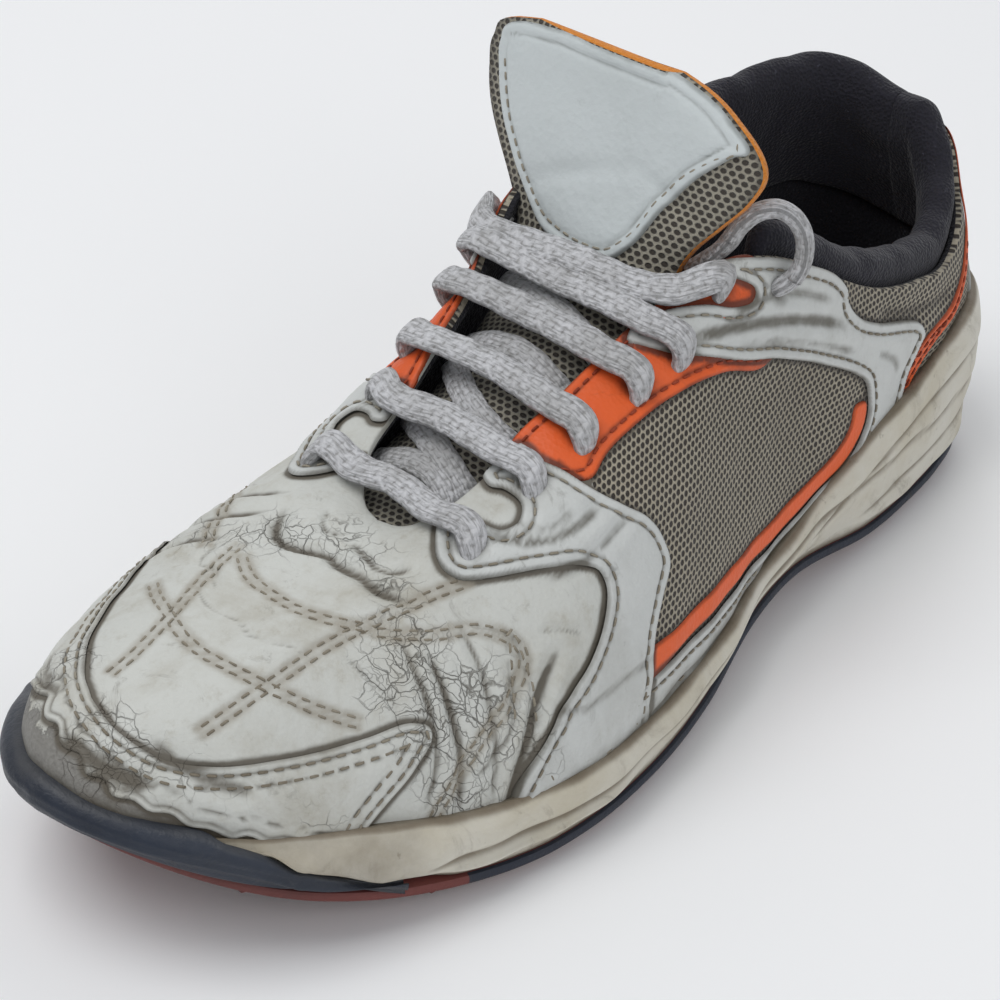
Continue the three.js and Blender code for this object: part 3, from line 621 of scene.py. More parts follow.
def foam_rubber(name, clean, aged, grime, rough=0.6, stain=1.0):
    material, tree, shader = start_material(name)
    where = object_place(tree)
    age = patches(tree, where, 0.38, 0.7, 22.0, 6.0, 0.62, 0.5)
    smear = patches(tree, where, 0.53, 0.75, 60.0, 8.0, 0.72, 1.0)
    dots = patches(tree, where, 0.66, 0.78, 330.0, 3.0, 0.6)
    colour = blend(tree, age, clean, aged)
    colour = stained(tree, colour, smear, 0.5 * stain, grime)
    colour = stained(tree, colour, dots, 0.45 * stain, grime)
    # Dirt and painted shade from the point attribute, darker in grooves and where parts meet.
    colour = soiled_and_shaded(tree, where, colour, grime, 150.0, 0.4, 0.35, 1.1, 0.0, 0.9)
    tree.links.new(colour, shader.inputs["Base Color"])
    tree.links.new(calc(tree, "MULTIPLY_ADD", smear, 0.2, rough), shader.inputs["Roughness"])
    fine = noise(tree, where, 520.0, 6.0, 0.65)
    bump(tree, shader, calc(tree, "MULTIPLY_ADD", smear, -0.5, fine), 0.6, 0.0005)
    return material


BRAID_PITCH, BRAID_STRANDS = 0.0026, 5


def braided(name, light, mid, dark):
    material, tree, shader = start_material(name)
    flat, along, around = cloth_map(tree)
    where = object_place(tree)
    turn = times(tree, around, 2 * math.pi * BRAID_STRANDS)
    run = times(tree, along, 2 * math.pi / BRAID_PITCH)
    one = calc(tree, "SINE", calc(tree, "ADD", run, turn))
    two = calc(tree, "SINE", calc(tree, "SUBTRACT", run, turn))
    braid = calc(tree, "MULTIPLY_ADD", calc(tree, "MAXIMUM", one, two), 0.5, 0.5)
    long = put(tree, "Mapping", {"Vector": flat, "Scale": (260.0, 40.0, 1.0)}).outputs[0]
    fleck = patches(tree, long, 0.47, 0.66, 1.0, 3.0, 0.6)
    soil = patches(tree, where, 0.42, 0.68, 70.0, 5.0, 0.65)
    colour = stained(tree, light, soil, 0.6, mid)
    colour = stained(tree, colour, fleck, 0.5, dark)
    # Between the strands, where the braid is low, the colour goes towards the dark tone: painted shade in the
    # braid's grooves.
    dress(tree, shader, blend(tree, ease(tree, braid, 0.35, 0.0, 0.0, 0.55), colour, dark), 0.85, 0.2)
    height = calc(tree, "MULTIPLY_ADD", fleck, -0.5, braid)
    bump(tree, shader, height, 0.8, 0.0006)
    return material


LINING = lining_cloth("collar lining", srgb(14, 13, 23), srgb(30, 28, 43))
# The inside lining is the collar's cloth made darker: painted shade for the inside of the shoe. The insole
# wears it too.
SHADED_LINING = lining_cloth("shaded inside lining", srgb(11, 10, 18), srgb(24, 22, 34))
YELLOW_LINING = lining_cloth("tongue lining", srgb(206, 120, 30), srgb(232, 152, 46))
MIDSOLE_FOAM = foam_rubber("midsole foam", srgb(214, 210, 198), srgb(198, 190, 170), srgb(108, 94, 74))
BUMPER_RUBBER = foam_rubber("bumper rubber", srgb(22, 28, 40), srgb(32, 41, 56), srgb(84, 84, 84), 0.42, 0.5)
TREAD_RUBBER = foam_rubber("tread rubber", srgb(116, 60, 55), srgb(98, 54, 50), srgb(74, 54, 50), 0.65)
TREAD_EDGE = foam_rubber("tread edge rubber", srgb(34, 40, 54), srgb(50, 52, 62), srgb(80, 74, 68), 0.6)
LACE = braided("woven lace", srgb(206, 206, 208), srgb(166, 165, 163), srgb(112, 109, 104))
THREAD = foam_rubber("thread", srgb(156, 149, 134), srgb(128, 119, 103), srgb(76, 68, 57), 0.8)
ORANGE_THREAD = foam_rubber("orange thread", srgb(160, 66, 36), srgb(120, 52, 32), srgb(70, 36, 26), 0.8)
print("finishes made:", len(bpy.data.materials))

# %% [markdown]
# The loop is placed first. Its points are the CAD route's own points, in metres. A short flat lace is
# limp, and both ends go back into the shoe: one behind the tongue's edge, the other into the top
# eyelet.

# %% The free loop of the lace
LOOP_ROUTE = [
    (0.1138, 0.0225, 0.0920), (0.1128, 0.0242, 0.0956), (0.1108, 0.0266, 0.0986), (0.1080, 0.0294, 0.0994),
    (0.1055, 0.0318, 0.0976), (0.1040, 0.0338, 0.0940), (0.1038, 0.0346, 0.0900), (0.1046, 0.0346, 0.0865),
    (0.1058, 0.0338, 0.0836)]
LOOP_WIDTH = 4.4
LOOP_AROUND = 20


def free_loop():
    middle, run = along_route(np.array(LOOP_ROUTE) * 1000, 40)
    across = np.tile([1.0, 0.6, 0.2], (len(middle), 1))
    points, faces = capped_tube(tube_rings(middle, across, LOOP_WIDTH, LOOP_WIDTH * 0.9, LOOP_AROUND))
    cloth = sleeve_map(run, LOOP_AROUND)
    loop = make_piece("lace_loop_cord", points, faces, [LACE], "lace", ["lace_loop"], uv=cloth)
    path = to_frame(middle)
    return run[-1]


print("loop length", round(free_loop(), 1), "mm")

# %% [markdown]
# ## Creases, dents and decorative seams
# Leather that has been walked in folds in the same places each step. Sculpting or cloth simulation
# could make folds, but they would not land in the right places, so each main fold is one line on the
# last. A fold is a soft trough with two raised shoulders. Every layer of the upper asks the same
# function how far it sinks, so panels, stitches and the leather below crease together.

# %% Lines on the last
def trace(knots, step=0.8):
    knots = np.asarray(knots, float)
    place = np.linspace(0, 1, len(knots))
    dense = smooth(np.c_[place, knots], np.linspace(0, 1, 60 * len(knots)))
    run = run_along(last_surface(dense[:, 0], dense[:, 1]))
    even = np.linspace(0, run[-1], max(int(run[-1] / step), 2) + 1)
    tau, h = (np.interp(even, run, dense[:, k]) for k in (0, 1))
    return tau, h, last_surface(tau, h)


def mirrored(knots):
    return [(-tau, h) for tau, h in knots]


# Depth and width of each fold, then its line as (tau, h).
FOLDS = [
    (1.5, 1.7, [(-0.17, 0.83), (-0.098, 0.825), (0.002, 0.881), (0.05, 0.87), (0.107, 0.844), (0.15, 0.80),
                (0.188, 0.763), (0.215, 0.73)]),
    (0.8, 1.3, [(0.02, 0.935), (0.08, 0.905), (0.13, 0.86), (0.17, 0.84), (0.20, 0.85)]),
    (0.6, 1.1, [(-0.12, 0.93), (-0.06, 0.915), (0.0, 0.94)]),
    (0.45, 0.9, [(-0.06, 0.66), (0.02, 0.665), (0.06, 0.63), (0.10, 0.62), (0.13, 0.585)]),
    (0.5, 1.0, [(-0.14, 0.70), (-0.11, 0.66), (-0.07, 0.70), (-0.03, 0.69)]),
    (0.9, 1.4, [(0.232, 0.60), (0.25, 0.47), (0.262, 0.30), (0.262, 0.10)]),
    (0.8, 1.2, [(0.20, 0.66), (0.22, 0.56), (0.235, 0.46), (0.245, 0.30), (0.238, 0.12)]),
    (0.7, 1.2, [(0.262, 0.66), (0.28, 0.50), (0.288, 0.30), (0.285, 0.08)]),
    (1.1, 1.7, [(0.345, 0.44), (0.325, 0.36), (0.312, 0.24), (0.300, 0.10), (0.296, 0.03)]),
    (0.6, 1.1, [(0.30, 0.50), (0.305, 0.40), (0.298, 0.30), (0.27, 0.20)]),
    (0.5, 1.0, [(0.33, 0.52), (0.352, 0.47), (0.368, 0.42)]),
    (0.5, 1.0, [(0.15, 0.62), (0.175, 0.56), (0.20, 0.50), (0.215, 0.44)]),
    (0.9, 1.5, [(-0.17, 0.80), (-0.20, 0.66), (-0.225, 0.50), (-0.24, 0.30), (-0.24, 0.10)]),
    (0.8, 1.3, [(-0.205, 0.84), (-0.235, 0.70), (-0.26, 0.52), (-0.27, 0.30), (-0.265, 0.08)]),
    (0.7, 1.3, [(-0.14, 0.72), (-0.17, 0.60), (-0.195, 0.46), (-0.21, 0.28)]),
    (0.9, 1.6, [(-0.345, 0.44), (-0.325, 0.36), (-0.31, 0.24), (-0.30, 0.06)]),
    (0.7, 1.8, [(0.30, 0.86), (0.335, 0.74), (0.37, 0.68), (0.41, 0.66)]),
    (0.5, 1.5, [(0.33, 0.80), (0.355, 0.73), (0.385, 0.71)]),
    (0.6, 1.5, [(0.345, 0.62), (0.385, 0.58), (0.43, 0.58)]),
    (0.5, 1.6, [(0.33, 0.30), (0.36, 0.24), (0.40, 0.22), (0.43, 0.20)]),
    (0.8, 2.4, [(0.505, 0.88), (0.54, 0.80), (0.60, 0.755), (0.66, 0.755), (0.70, 0.76)]),
    (0.6, 2.2, [(0.56, 0.80), (0.60, 0.84), (0.64, 0.86), (0.68, 0.86)]),
    (0.5, 1.8, [(0.56, 0.72), (0.62, 0.675), (0.68, 0.65), (0.72, 0.62)]),
    (0.5, 2.0, [(0.735, 0.62), (0.755, 0.56), (0.765, 0.46)]),
    (0.5, 1.6, [(0.725, 0.14), (0.66, 0.06), (0.58, 0.035)]),
    (0.7, 1.1, [(0.77, 0.06), (0.80, 0.18), (0.85, 0.30), (0.91, 0.36), (0.97, 0.40)]),
    (0.5, 1.0, [(0.79, 0.04), (0.83, 0.14), (0.88, 0.20), (0.95, 0.23)]),
    (0.7, 1.1, [(-0.77, 0.06), (-0.80, 0.18), (-0.85, 0.30), (-0.91, 0.36), (-0.97, 0.40)]),
    (0.6, 2.4, [(-0.50, 0.80), (-0.58, 0.72), (-0.66, 0.70), (-0.72, 0.66)]),
    (0.7, 2.6, [(0.74, 0.86), (0.80, 0.80), (0.86, 0.80)]),
    (0.6, 2.6, [(-0.70, 0.85), (-0.78, 0.78), (-0.86, 0.80)]),
    (0.9, 3.0, [(0.00, 0.20), (0.035, 0.16), (0.07, 0.14)]),
    (0.7, 2.4, [(0.05, 0.30), (0.09, 0.22), (0.13, 0.20)]),
    (0.6, 2.0, [(-0.02, 0.33), (-0.05, 0.26), (-0.10, 0.24)]),
]
# The double rows of stitching that cross the toe box.
DOUBLE_SEAMS = {
    "inner slant": [(-0.11, 0.744), (-0.068, 0.68), (-0.030, 0.594), (-0.014, 0.50), (-0.010, 0.425)],
    "front arc": [
        (-0.11, 0.55), (-0.03, 0.594), (0.045, 0.556), (0.103, 0.506), (0.155, 0.456), (0.182, 0.43)],
    "rear arc": [
        (-0.08, 0.756), (0.007, 0.756), (0.073, 0.725), (0.118, 0.705), (0.150, 0.694), (0.172, 0.680)],
    "long slant": [
        (0.080, 0.350), (0.103, 0.506), (0.130, 0.631), (0.170, 0.706), (0.21, 0.735), (0.242, 0.750),
        (0.275, 0.750)],
    "outer loop": [
        (0.172, 0.675), (0.235, 0.638), (0.280, 0.613), (0.310, 0.531), (0.314, 0.463), (0.297, 0.381),
        (0.272, 0.300), (0.250, 0.16), (0.240, 0.06)],
    "inner loop": [(-0.14, 0.66), (-0.20, 0.64), (-0.26, 0.60), (-0.30, 0.50), (-0.295, 0.38), (-0.27, 0.24),
                   (-0.25, 0.06)],
}
DOUBLE_GAP = 0.95


def beside(tau, h, where, shift):
    along, climb = slopes(tau, h)
    normal = unit(np.cross(along, climb))
    run = unit(np.gradient(where, axis=0))
    return shift_on_last(tau, h, np.cross(normal, run), shift)


def shift_on_last(tau, h, way, distance):
    along, climb = slopes(tau, h)
    aa, cc = (along * along).sum(1), (climb * climb).sum(1)
    ac, aw, cw = (along * climb).sum(1), (along * way).sum(1), (climb * way).sum(1)
    area = aa * cc - ac * ac
    return tau + distance * (aw * cc - cw * ac) / area, h + distance * (cw * aa - aw * ac) / area


FOLD_LINES = []
for fold_depth, fold_width, fold_knots in FOLDS:
    _, _, fold_line = trace(fold_knots)
    share = np.linspace(0, 1, len(fold_line))
    fade = np.minimum(1, 6 * np.minimum(share, 1 - share) + 0.15)
    FOLD_LINES.append((fold_depth, fold_width, fold_line, fade))
SEAM_LINES = []
for seam_knots in DOUBLE_SEAMS.values():
    seam_tau, seam_h, seam_line = trace(seam_knots)
    for way in (-DOUBLE_GAP, DOUBLE_GAP):
        row_tau, row_h = beside(seam_tau, seam_h, seam_line, way)
        SEAM_LINES.append((row_tau, row_h, last_surface(row_tau, row_h)))
print("folds:", len(FOLD_LINES), "rows of decorative stitching:", len(SEAM_LINES))


# %% How far the leather sinks
# Each pair of eyelets, outer then inner, from the toe up.
EYELETS = [
    (0.285, 0.845), (-0.275, 0.865), (0.358, 0.87), (-0.362, 0.90), (0.412, 0.856), (-0.415, 0.856),
    (0.47, 0.838), (-0.47, 0.85), (0.513, 0.82), (-0.513, 0.84), (0.560, 0.93), (-0.553, 0.93)]
TOP_EYELET = (0.617, 0.869)
DENTS = [(tau, h, 0.9, 4.2) for tau, h in EYELETS] + [(*TOP_EYELET, 1.0, 4.0)]
DENT_PLACES = [(last_surface(tau, h)[0], depth, radius) for tau, h, depth, radius in DENTS]
LUMP_LENGTH = 34
LUMP_WAVES = rng.normal(size=(9, 3)) * (2 * np.pi / LUMP_LENGTH)
LUMP_PHASES = rng.uniform(0, 2 * np.pi, 9)


def nearest(points, line):
    gap = np.linalg.norm(points[:, None] - line[None], axis=2)
    return gap.min(axis=1), gap.argmin(axis=1)


def close_to(points, line, reach):
    inside = np.all((points > line.min(0) - reach) & (points < line.max(0) + reach), axis=1)
    return np.nonzero(inside)[0]


def creasing(points):
    sink = 0.22 * np.sin(points @ LUMP_WAVES.T + LUMP_PHASES).sum(axis=1) / 2
    # Darkening mask: dirt together with painted shade along the folds' troughs and round the eyelet dents.
    darkening = np.zeros(len(points))
    seam = np.zeros(len(points))
    for depth, width, line, fade in FOLD_LINES:
        some = close_to(points, line, 3.5 * width)
        if len(some):
            gap, k = nearest(points[some], line)
            q = gap / width
            sink[some] += depth * fade[k] * (bell(q, 1) - 0.42 * bell(q - 1.9, 0.9))
            # Painted shade with dirt along the fold's trough.
            darkening[some] = np.maximum(darkening[some], min(depth, 1) * fade[k] * bell(q * 1.5, 1))
    for _, _, line in SEAM_LINES:
        some = close_to(points, line, 3.5)
        if len(some):
            gap, _ = nearest(points[some], line)
            sink[some] += 0.32 * bell(gap, 0.6)
            seam[some] = np.maximum(seam[some], bell(gap, 1.3))
    for place, depth, radius in DENT_PLACES:
        gap = np.linalg.norm(points - place, axis=1)
        sink += depth * bell(gap, radius)
        # Painted shade with dirt round the eyelet's dent.
        darkening = np.maximum(darkening, 0.8 * bell(gap, radius * 0.9))
    return sink, darkening, seam


def worn_skin(tau, h, off=0.0):
    flat, normal = skin(tau, h, 0.0)
    sink, darkening, seam = creasing(flat)
    return flat + normal * (np.asarray(off) - sink)[:, None], normal, flat, darkening, seam


# %% Where the coating has cracked
CRACKED = [
    (0.213, 0.569, 15, 1.0), (0.255, 0.42, 17, 1.0), (0.262, 0.18, 15, 0.9), (0.30, 0.30, 14, 0.75),
    (-0.10, 0.83, 12, 0.9), (-0.14, 0.72, 11, 0.8), (-0.17, 0.60, 12, 0.7), (0.0, 0.93, 11, 0.8),
    (0.10, 0.90, 11, 0.7), (0.17, 0.80, 10, 0.7), (-0.22, 0.45, 14, 0.7), (0.03, 0.22, 16, 0.75),
    (0.10, 0.14, 16, 0.5), (-0.06, 0.28, 15, 0.8), (0.17, 0.16, 12, 0.5), (-0.25, 0.22, 14, 0.6),
    (0.33, 0.14, 12, 0.5), (0.36, 0.30, 10, 0.3)]


def near_spots(points, spots):
    amount = np.zeros(len(points))
    for tau, h, radius, strength in spots:
        gap = np.linalg.norm(points - last_surface(tau, h)[0], axis=1)
        amount = np.maximum(amount, strength * bell(gap, radius))
    return amount


# %% [markdown]
# ## The panels' outlines
# The overlays are cut from leather and sewn on the mesh and the vamp. Each outline is a closed line of
# (tau, h) points. The inner side of the shoe is hidden, so it gets the outer side's panels mirrored,
# as such shoes have.

# %% Outlines
ORANGE_EYESTAY = [
    (0.35, 1.0), (0.362, 0.90), (0.385, 0.80), (0.41, 0.74), (0.425, 0.757), (0.463, 0.752), (0.505, 0.722),
    (0.555, 0.66), (0.60, 0.61), (0.618, 0.66), (0.61, 0.80), (0.60, 0.92), (0.595, 1.0), (0.54, 1.0),
    (0.48, 1.0), (0.41, 1.0)]
ORANGE_STRIPE = [
    (0.42, 0.205), (0.46, 0.20), (0.505, 0.18), (0.56, 0.15), (0.615, 0.135), (0.655, 0.158),
    (0.685, 0.205), (0.703, 0.285), (0.712, 0.37), (0.724, 0.37), (0.722, 0.30), (0.712, 0.215),
    (0.69, 0.135), (0.655, 0.098), (0.615, 0.08), (0.57, 0.095), (0.518, 0.12), (0.46, 0.142),
    (0.42, 0.15)]
WHITE_QUARTER = [
    (0.484, 0.995), (0.508, 0.965), (0.54, 0.900), (0.573, 0.838), (0.588, 0.842), (0.591, 0.875),
    (0.575, 0.93), (0.560, 0.97), (0.556, 1.0), (0.60, 1.0), (0.65, 1.0), (0.692, 1.0), (0.701, 0.95),
    (0.700, 0.888), (0.716, 0.808), (0.74, 0.785), (0.775, 0.769), (0.792, 0.73), (0.797, 0.656),
    (0.79, 0.55), (0.777, 0.42), (0.765, 0.25), (0.752, 0.12), (0.735, 0.06), (0.70, 0.02),
    (0.645, 0.005), (0.54, 0.005), (0.47, 0.02), (0.40, 0.05), (0.395, 0.13), (0.43, 0.142), (0.47, 0.13),
    (0.518, 0.108), (0.57, 0.084), (0.615, 0.070), (0.655, 0.088), (0.693, 0.128), (0.715, 0.21),
    (0.725, 0.31), (0.726, 0.40), (0.722, 0.47), (0.706, 0.525), (0.66, 0.58), (0.62, 0.615),
    (0.573, 0.663), (0.535, 0.745), (0.505, 0.835), (0.484, 0.92), (0.475, 0.97)]
LOWER_EYESTAY = [
    (0.240, 0.985), (0.262, 0.993), (0.268, 0.955), (0.298, 0.89), (0.322, 0.812), (0.336, 0.803),
    (0.342, 0.83), (0.333, 0.91), (0.320, 0.96), (0.318, 0.998), (0.34, 1.0), (0.362, 0.985),
    (0.372, 0.90), (0.385, 0.831), (0.403, 0.725), (0.425, 0.619), (0.445, 0.53), (0.455, 0.46),
    (0.459, 0.38), (0.445, 0.319), (0.432, 0.238), (0.424, 0.12), (0.418, 0.02), (0.40, 0.0), (0.34, 0.0),
    (0.296, 0.0), (0.298, 0.07), (0.318, 0.205), (0.345, 0.30), (0.370, 0.344), (0.387, 0.406),
    (0.395, 0.469), (0.392, 0.520), (0.377, 0.581), (0.35, 0.640), (0.325, 0.685), (0.30, 0.722),
    (0.262, 0.77), (0.24, 0.825), (0.229, 0.894), (0.230, 0.95)]
HEEL_DIAGONAL = [
    (0.735, 0.10), (0.742, 0.20), (0.755, 0.30), (0.776, 0.45), (0.795, 0.56), (0.812, 0.64), (0.845, 0.712),
    (0.872, 0.775), (0.905, 0.87), (0.935, 1.0), (0.965, 1.0), (0.935, 0.86), (0.900, 0.73), (0.867, 0.655),
    (0.83, 0.575), (0.812, 0.50), (0.792, 0.40), (0.770, 0.25), (0.758, 0.14), (0.75, 0.09)]
HEEL_EDGE = [
    (0.755, 0.0), (0.757, 0.09), (0.768, 0.17), (0.792, 0.26), (0.83, 0.38), (0.87, 0.455), (0.91, 0.51),
    (0.945, 0.585), (0.975, 0.655)]
HEEL_COUNTER = HEEL_EDGE + [(1.0, 0.675)] + [(2 - tau, h) for tau, h in reversed(HEEL_EDGE)] + [
    (2 - 0.80, 0.0), (2 - 0.87, 0.0), (2 - 0.94, 0.0), (1.0, 0.0), (0.94, 0.0), (0.87, 0.0), (0.80, 0.0)]
HEEL_TAB = [
    (0.962, 1.0), (0.967, 0.88), (0.975, 0.78), (0.985, 0.72), (1.0, 0.70), (1.015, 0.72), (1.025, 0.78),
    (1.033, 0.88), (1.038, 1.0), (1.012, 1.0), (0.988, 1.0)]
CAP_TOP = [
    (-0.205, 0.0), (-0.215, 0.12), (-0.235, 0.27), (-0.25, 0.37), (-0.238, 0.425), (-0.20, 0.43),
    (-0.15, 0.43), (-0.10, 0.42), (-0.055, 0.395), (-0.007, 0.350), (0.035, 0.281), (0.068, 0.244),
    (0.098, 0.256), (0.140, 0.319), (0.190, 0.388), (0.222, 0.415), (0.240, 0.385), (0.228, 0.288),
    (0.210, 0.188), (0.197, 0.09), (0.193, 0.0)]
CAP_TORN = [
    (0.175, 0.035), (0.160, 0.028), (0.150, 0.055), (0.138, 0.045), (0.128, 0.060), (0.118, 0.040),
    (0.105, 0.052), (0.092, 0.047), (0.082, 0.072), (0.070, 0.064), (0.060, 0.085), (0.048, 0.080),
    (0.040, 0.120), (0.028, 0.115), (0.018, 0.165), (0.006, 0.160), (-0.008, 0.215), (-0.022, 0.205),
    (-0.036, 0.245), (-0.055, 0.205), (-0.075, 0.175), (-0.095, 0.115), (-0.115, 0.090), (-0.135, 0.060),
    (-0.16, 0.052), (-0.18, 0.025)]
TOE_CAP = CAP_TOP + CAP_TORN


def both_sides(name, outline, *looks):
    return [(f"{name}_outer", outline, *looks), (f"{name}_inner", mirrored(outline), *looks)]


# Name, outline, height over the mesh, finish, distances of the stitch rows from the edge, thread.
PANELS = [
    *both_sides("orange_eyestay", ORANGE_EYESTAY, 0.6, ORANGE_LEATHER, (2.2,), ORANGE_THREAD),
    *both_sides("orange_stripe", ORANGE_STRIPE, 0.6, ORANGE_LEATHER, (), ORANGE_THREAD),
    *both_sides("heel_diagonal", HEEL_DIAGONAL, 0.6, ORANGE_LEATHER, (1.7,), ORANGE_THREAD),
    ("toe_cap", TOE_CAP, 0.85, VAMP_LEATHER, (1.7, 4.1), THREAD),
    ("heel_counter", HEEL_COUNTER, 0.9, PANEL_LEATHER, (2.2,), THREAD),
    ("heel_tab", HEEL_TAB, 1.0, PANEL_LEATHER, (2.0,), THREAD),
    *both_sides("quarter_panel", WHITE_QUARTER, 1.2, PANEL_LEATHER, (2.4,), THREAD),
    *both_sides("lower_eyestay", LOWER_EYESTAY, 1.3, PANEL_LEATHER, (2.4,), THREAD),
]
# How many millimetres one unit of tau and one of h are, roughly.
LAST_SCALE = np.array([340.0, 78.0])


def outline_loop(knots, step=1.0):
    knots = np.asarray(knots, float)
    area = np.sum(knots[:, 0] * np.roll(knots[:, 1], -1) - knots[:, 1] * np.roll(knots[:, 0], -1))
    if area < 0:
        knots = knots[::-1]
    again = np.concatenate([knots[-3:], knots, knots[:4]])
    chord = np.r_[0, np.cumsum(np.linalg.norm(np.diff(again * LAST_SCALE, axis=0), axis=1) ** 0.8)]
    dense = smooth(np.c_[chord, again], np.linspace(chord[3], chord[3 + len(knots)], 50 * len(knots)))
    run = run_along(last_surface(dense[:, 0], dense[:, 1]))
    return resample(np.linspace(0, run[-1], int(run[-1] / step) + 1)[:-1], run, dense)


def inset_loop(loop, distance):
    tau, h = loop.T
    where = last_surface(tau, h)
    run = unit(np.roll(where, -2, axis=0) - np.roll(where, 2, axis=0))
    normal = unit(np.cross(*slopes(tau, h)))
    new_tau, new_h = shift_on_last(tau, h, np.cross(normal, run), distance)
    return np.stack([new_tau, np.clip(new_h, -0.02, 1.01)], axis=1)


OUTLINES = {name: outline_loop(knots) for name, knots, *_ in PANELS}
print("outline points:", {name: len(loop) for name, loop in OUTLINES.items()})


# %% [markdown]
# A panel is cut out of a fine triangle net, because its edge must be smooth and its face must take
# the creases. The points near the edge lie in rings, so that the edge is a rounded wall, with a groove
# where each row of stitches pulls the leather down. The underside closes it.

# %% Cutting and laying a panel
def inside_loop(points, loop):
    x, y = points[:, 0][:, None], points[:, 1][:, None]
    x0, y0 = loop.T
    x1, y1 = np.roll(loop, -1, axis=0).T
    level = (y0 > y) != (y1 > y)
    slope = np.where(np.abs(y1 - y0) < 1e-12, 1e-12, y1 - y0)
    return (np.sum(level & (x < (x1 - x0) * (y - y0) / slope + x0), axis=1) % 2) == 1


def tree_of(points):
    tree = KDTree(len(points))
    for i, point in enumerate(points):
        tree.insert(point, i)
    tree.balance()
    return tree


def distance_to(points, tree):
    return np.array([tree.find(point)[2] for point in points])


def dense_line(loop, step=0.25):
    where = last_surface(*loop.T)
    where = np.concatenate([where, where[:1]])
    run = run_along(where)
    return resample(np.arange(0, run[-1], step), run, where)


EDGE_RINGS = (0.12, 0.4, 0.9, 1.6, 2.4, 3.3)
EDGE_ROUND, EDGE_SUNK = 0.6, 0.3
GROOVE_DEPTH, GROOVE_WIDTH = 0.42, 0.55


def panel_net(loop, spacing=1.2):
    edge = tree_of(dense_line(loop))
    rings = []
    for distance in EDGE_RINGS:
        one = inset_loop(loop, distance)
        gap = distance_to(last_surface(*one.T), edge)
        rings.append(one[(gap > 0.85 * distance) & inside_loop(one, loop)])
    along, climb = slopes(*loop.T)
    step_t = spacing / np.linalg.norm(along, axis=1).mean()
    step_h = 0.87 * spacing / np.linalg.norm(climb, axis=1).mean()
    tau, h = np.meshgrid(np.arange(loop[:, 0].min(), loop[:, 0].max(), step_t),
                         np.arange(loop[:, 1].min(), loop[:, 1].max(), step_h))
    tau = tau + (np.arange(len(tau)) % 2)[:, None] * step_t / 2
    grid = np.stack([tau.ravel(), h.ravel()], axis=1)
    grid = grid[inside_loop(grid, loop)]
    grid = grid[distance_to(last_surface(*grid.T), edge) > EDGE_RINGS[-1] + 0.6]
    flat = np.concatenate([loop, *rings, grid]) * LAST_SCALE
    result = delaunay_2d_cdt([Vector(p) for p in flat], [], [list(range(len(loop)))], 1, 1e-4, False)
    net = np.array([tuple(p) for p in result[0]]) / LAST_SCALE
    faces = np.array([list(face) for face in result[2]])
    faces = faces[inside_loop(net[faces].mean(axis=1), loop)]
    return net, faces.tolist(), distance_to(last_surface(*net.T), edge)


def edge_profile(gap, height, rows):
    round_share = np.sqrt(1 - (1 - np.minimum(gap / EDGE_ROUND, 1)) ** 2)
    lift = -EDGE_SUNK + (height + EDGE_SUNK) * round_share
    for row in rows:
        lift -= GROOVE_DEPTH * bell(gap - row, GROOVE_WIDTH)
    return lift + 0.25 * (1 - np.exp(-np.maximum(gap - 3, 0) / 5))


def higher_edges(name, height):
    lines = [dense_line(OUTLINES[other], 0.5) for other, _, other_height, *_ in PANELS
             if other != name and other_height > height]
    return tree_of(np.concatenate(lines)) if lines else None


# Dirt together with painted shade: darker in the folds and eyelet dents, along the panel's own edge and
# stitch grooves, next to the edges of higher panels lying over it, and near the sole.
def panel_grime(net, flat, gap, rows, others, darkening):
    grime = darkening + 0.55 * bell(gap, 0.7)
    for row in rows:
        grime = np.maximum(grime, 0.6 * bell(gap - row, 0.5))
    if others is not None:
        grime = np.maximum(grime, 1.1 * bell(distance_to(flat, others), 1.3))
    return np.maximum(grime, 0.8 * bell(net[:, 1], 0.07))


def lay_panel(name, loop, height, finish, rows):
    net, faces, gap = panel_net(loop)
    lift = edge_profile(gap, height, rows)
    top, normal, flat, darkening, _ = worn_skin(net[:, 0], net[:, 1], lift)
    grime = panel_grime(net, flat, gap, rows, higher_edges(name, height), darkening)
    rim = gap < 0.04
    under_index = np.where(rim, np.arange(len(net)), 0)
    inner = np.nonzero(~rim)[0]
    under_index[inner] = len(net) + np.arange(len(inner))
    under = top[inner] - normal[inner] * (lift[inner] + 0.5)[:, None]
    all_faces = faces + [[int(under_index[k]) for k in reversed(face)] for face in faces]
    pick = np.r_[np.arange(len(net)), inner]
    crackle = near_spots(flat, CRACKED)
    none = np.zeros(len(pick))
    make_piece(name, np.concatenate([top, under]), all_faces, [finish], "upper_leather",
               grime=grime[pick], crackle=crackle[pick], bare=none, seam=none)


for name, _, height, finish, rows, _ in PANELS:
    lay_panel(name, OUTLINES[name], height, finish, rows)

# %% [markdown]
# ## The upper's shell
# The shell is one closed wall: the outside is vamp leather at the front and mesh cloth from the
# eyestays back, and the inside is the dark lining, made darker still as painted shade. It is a band of
# rings round the last, finer over the toes, where the leather creases most. The mesh needs no real
# holes at this size: its pattern is drawn on a map in millimetres.

# %% Shell
def stations(front, rear, split=0.46):
    toe = np.linspace(-split, split, front)
    heel = np.linspace(split, 2 - split, rear)[1:-1]
    return np.concatenate([toe, heel])


SHELL_LEVELS = 96
LINING_LEVELS = 16
MESH_START = 0.405
TORN_END = 0.205
# Levels, then where round the shoe the fine mesh begins at each.
DIAGONAL_LINE = (
    (0.10, 0.25, 0.40, 0.56, 0.645, 0.75, 0.93), (0.742, 0.758, 0.785, 0.812, 0.845, 0.885, 0.945))


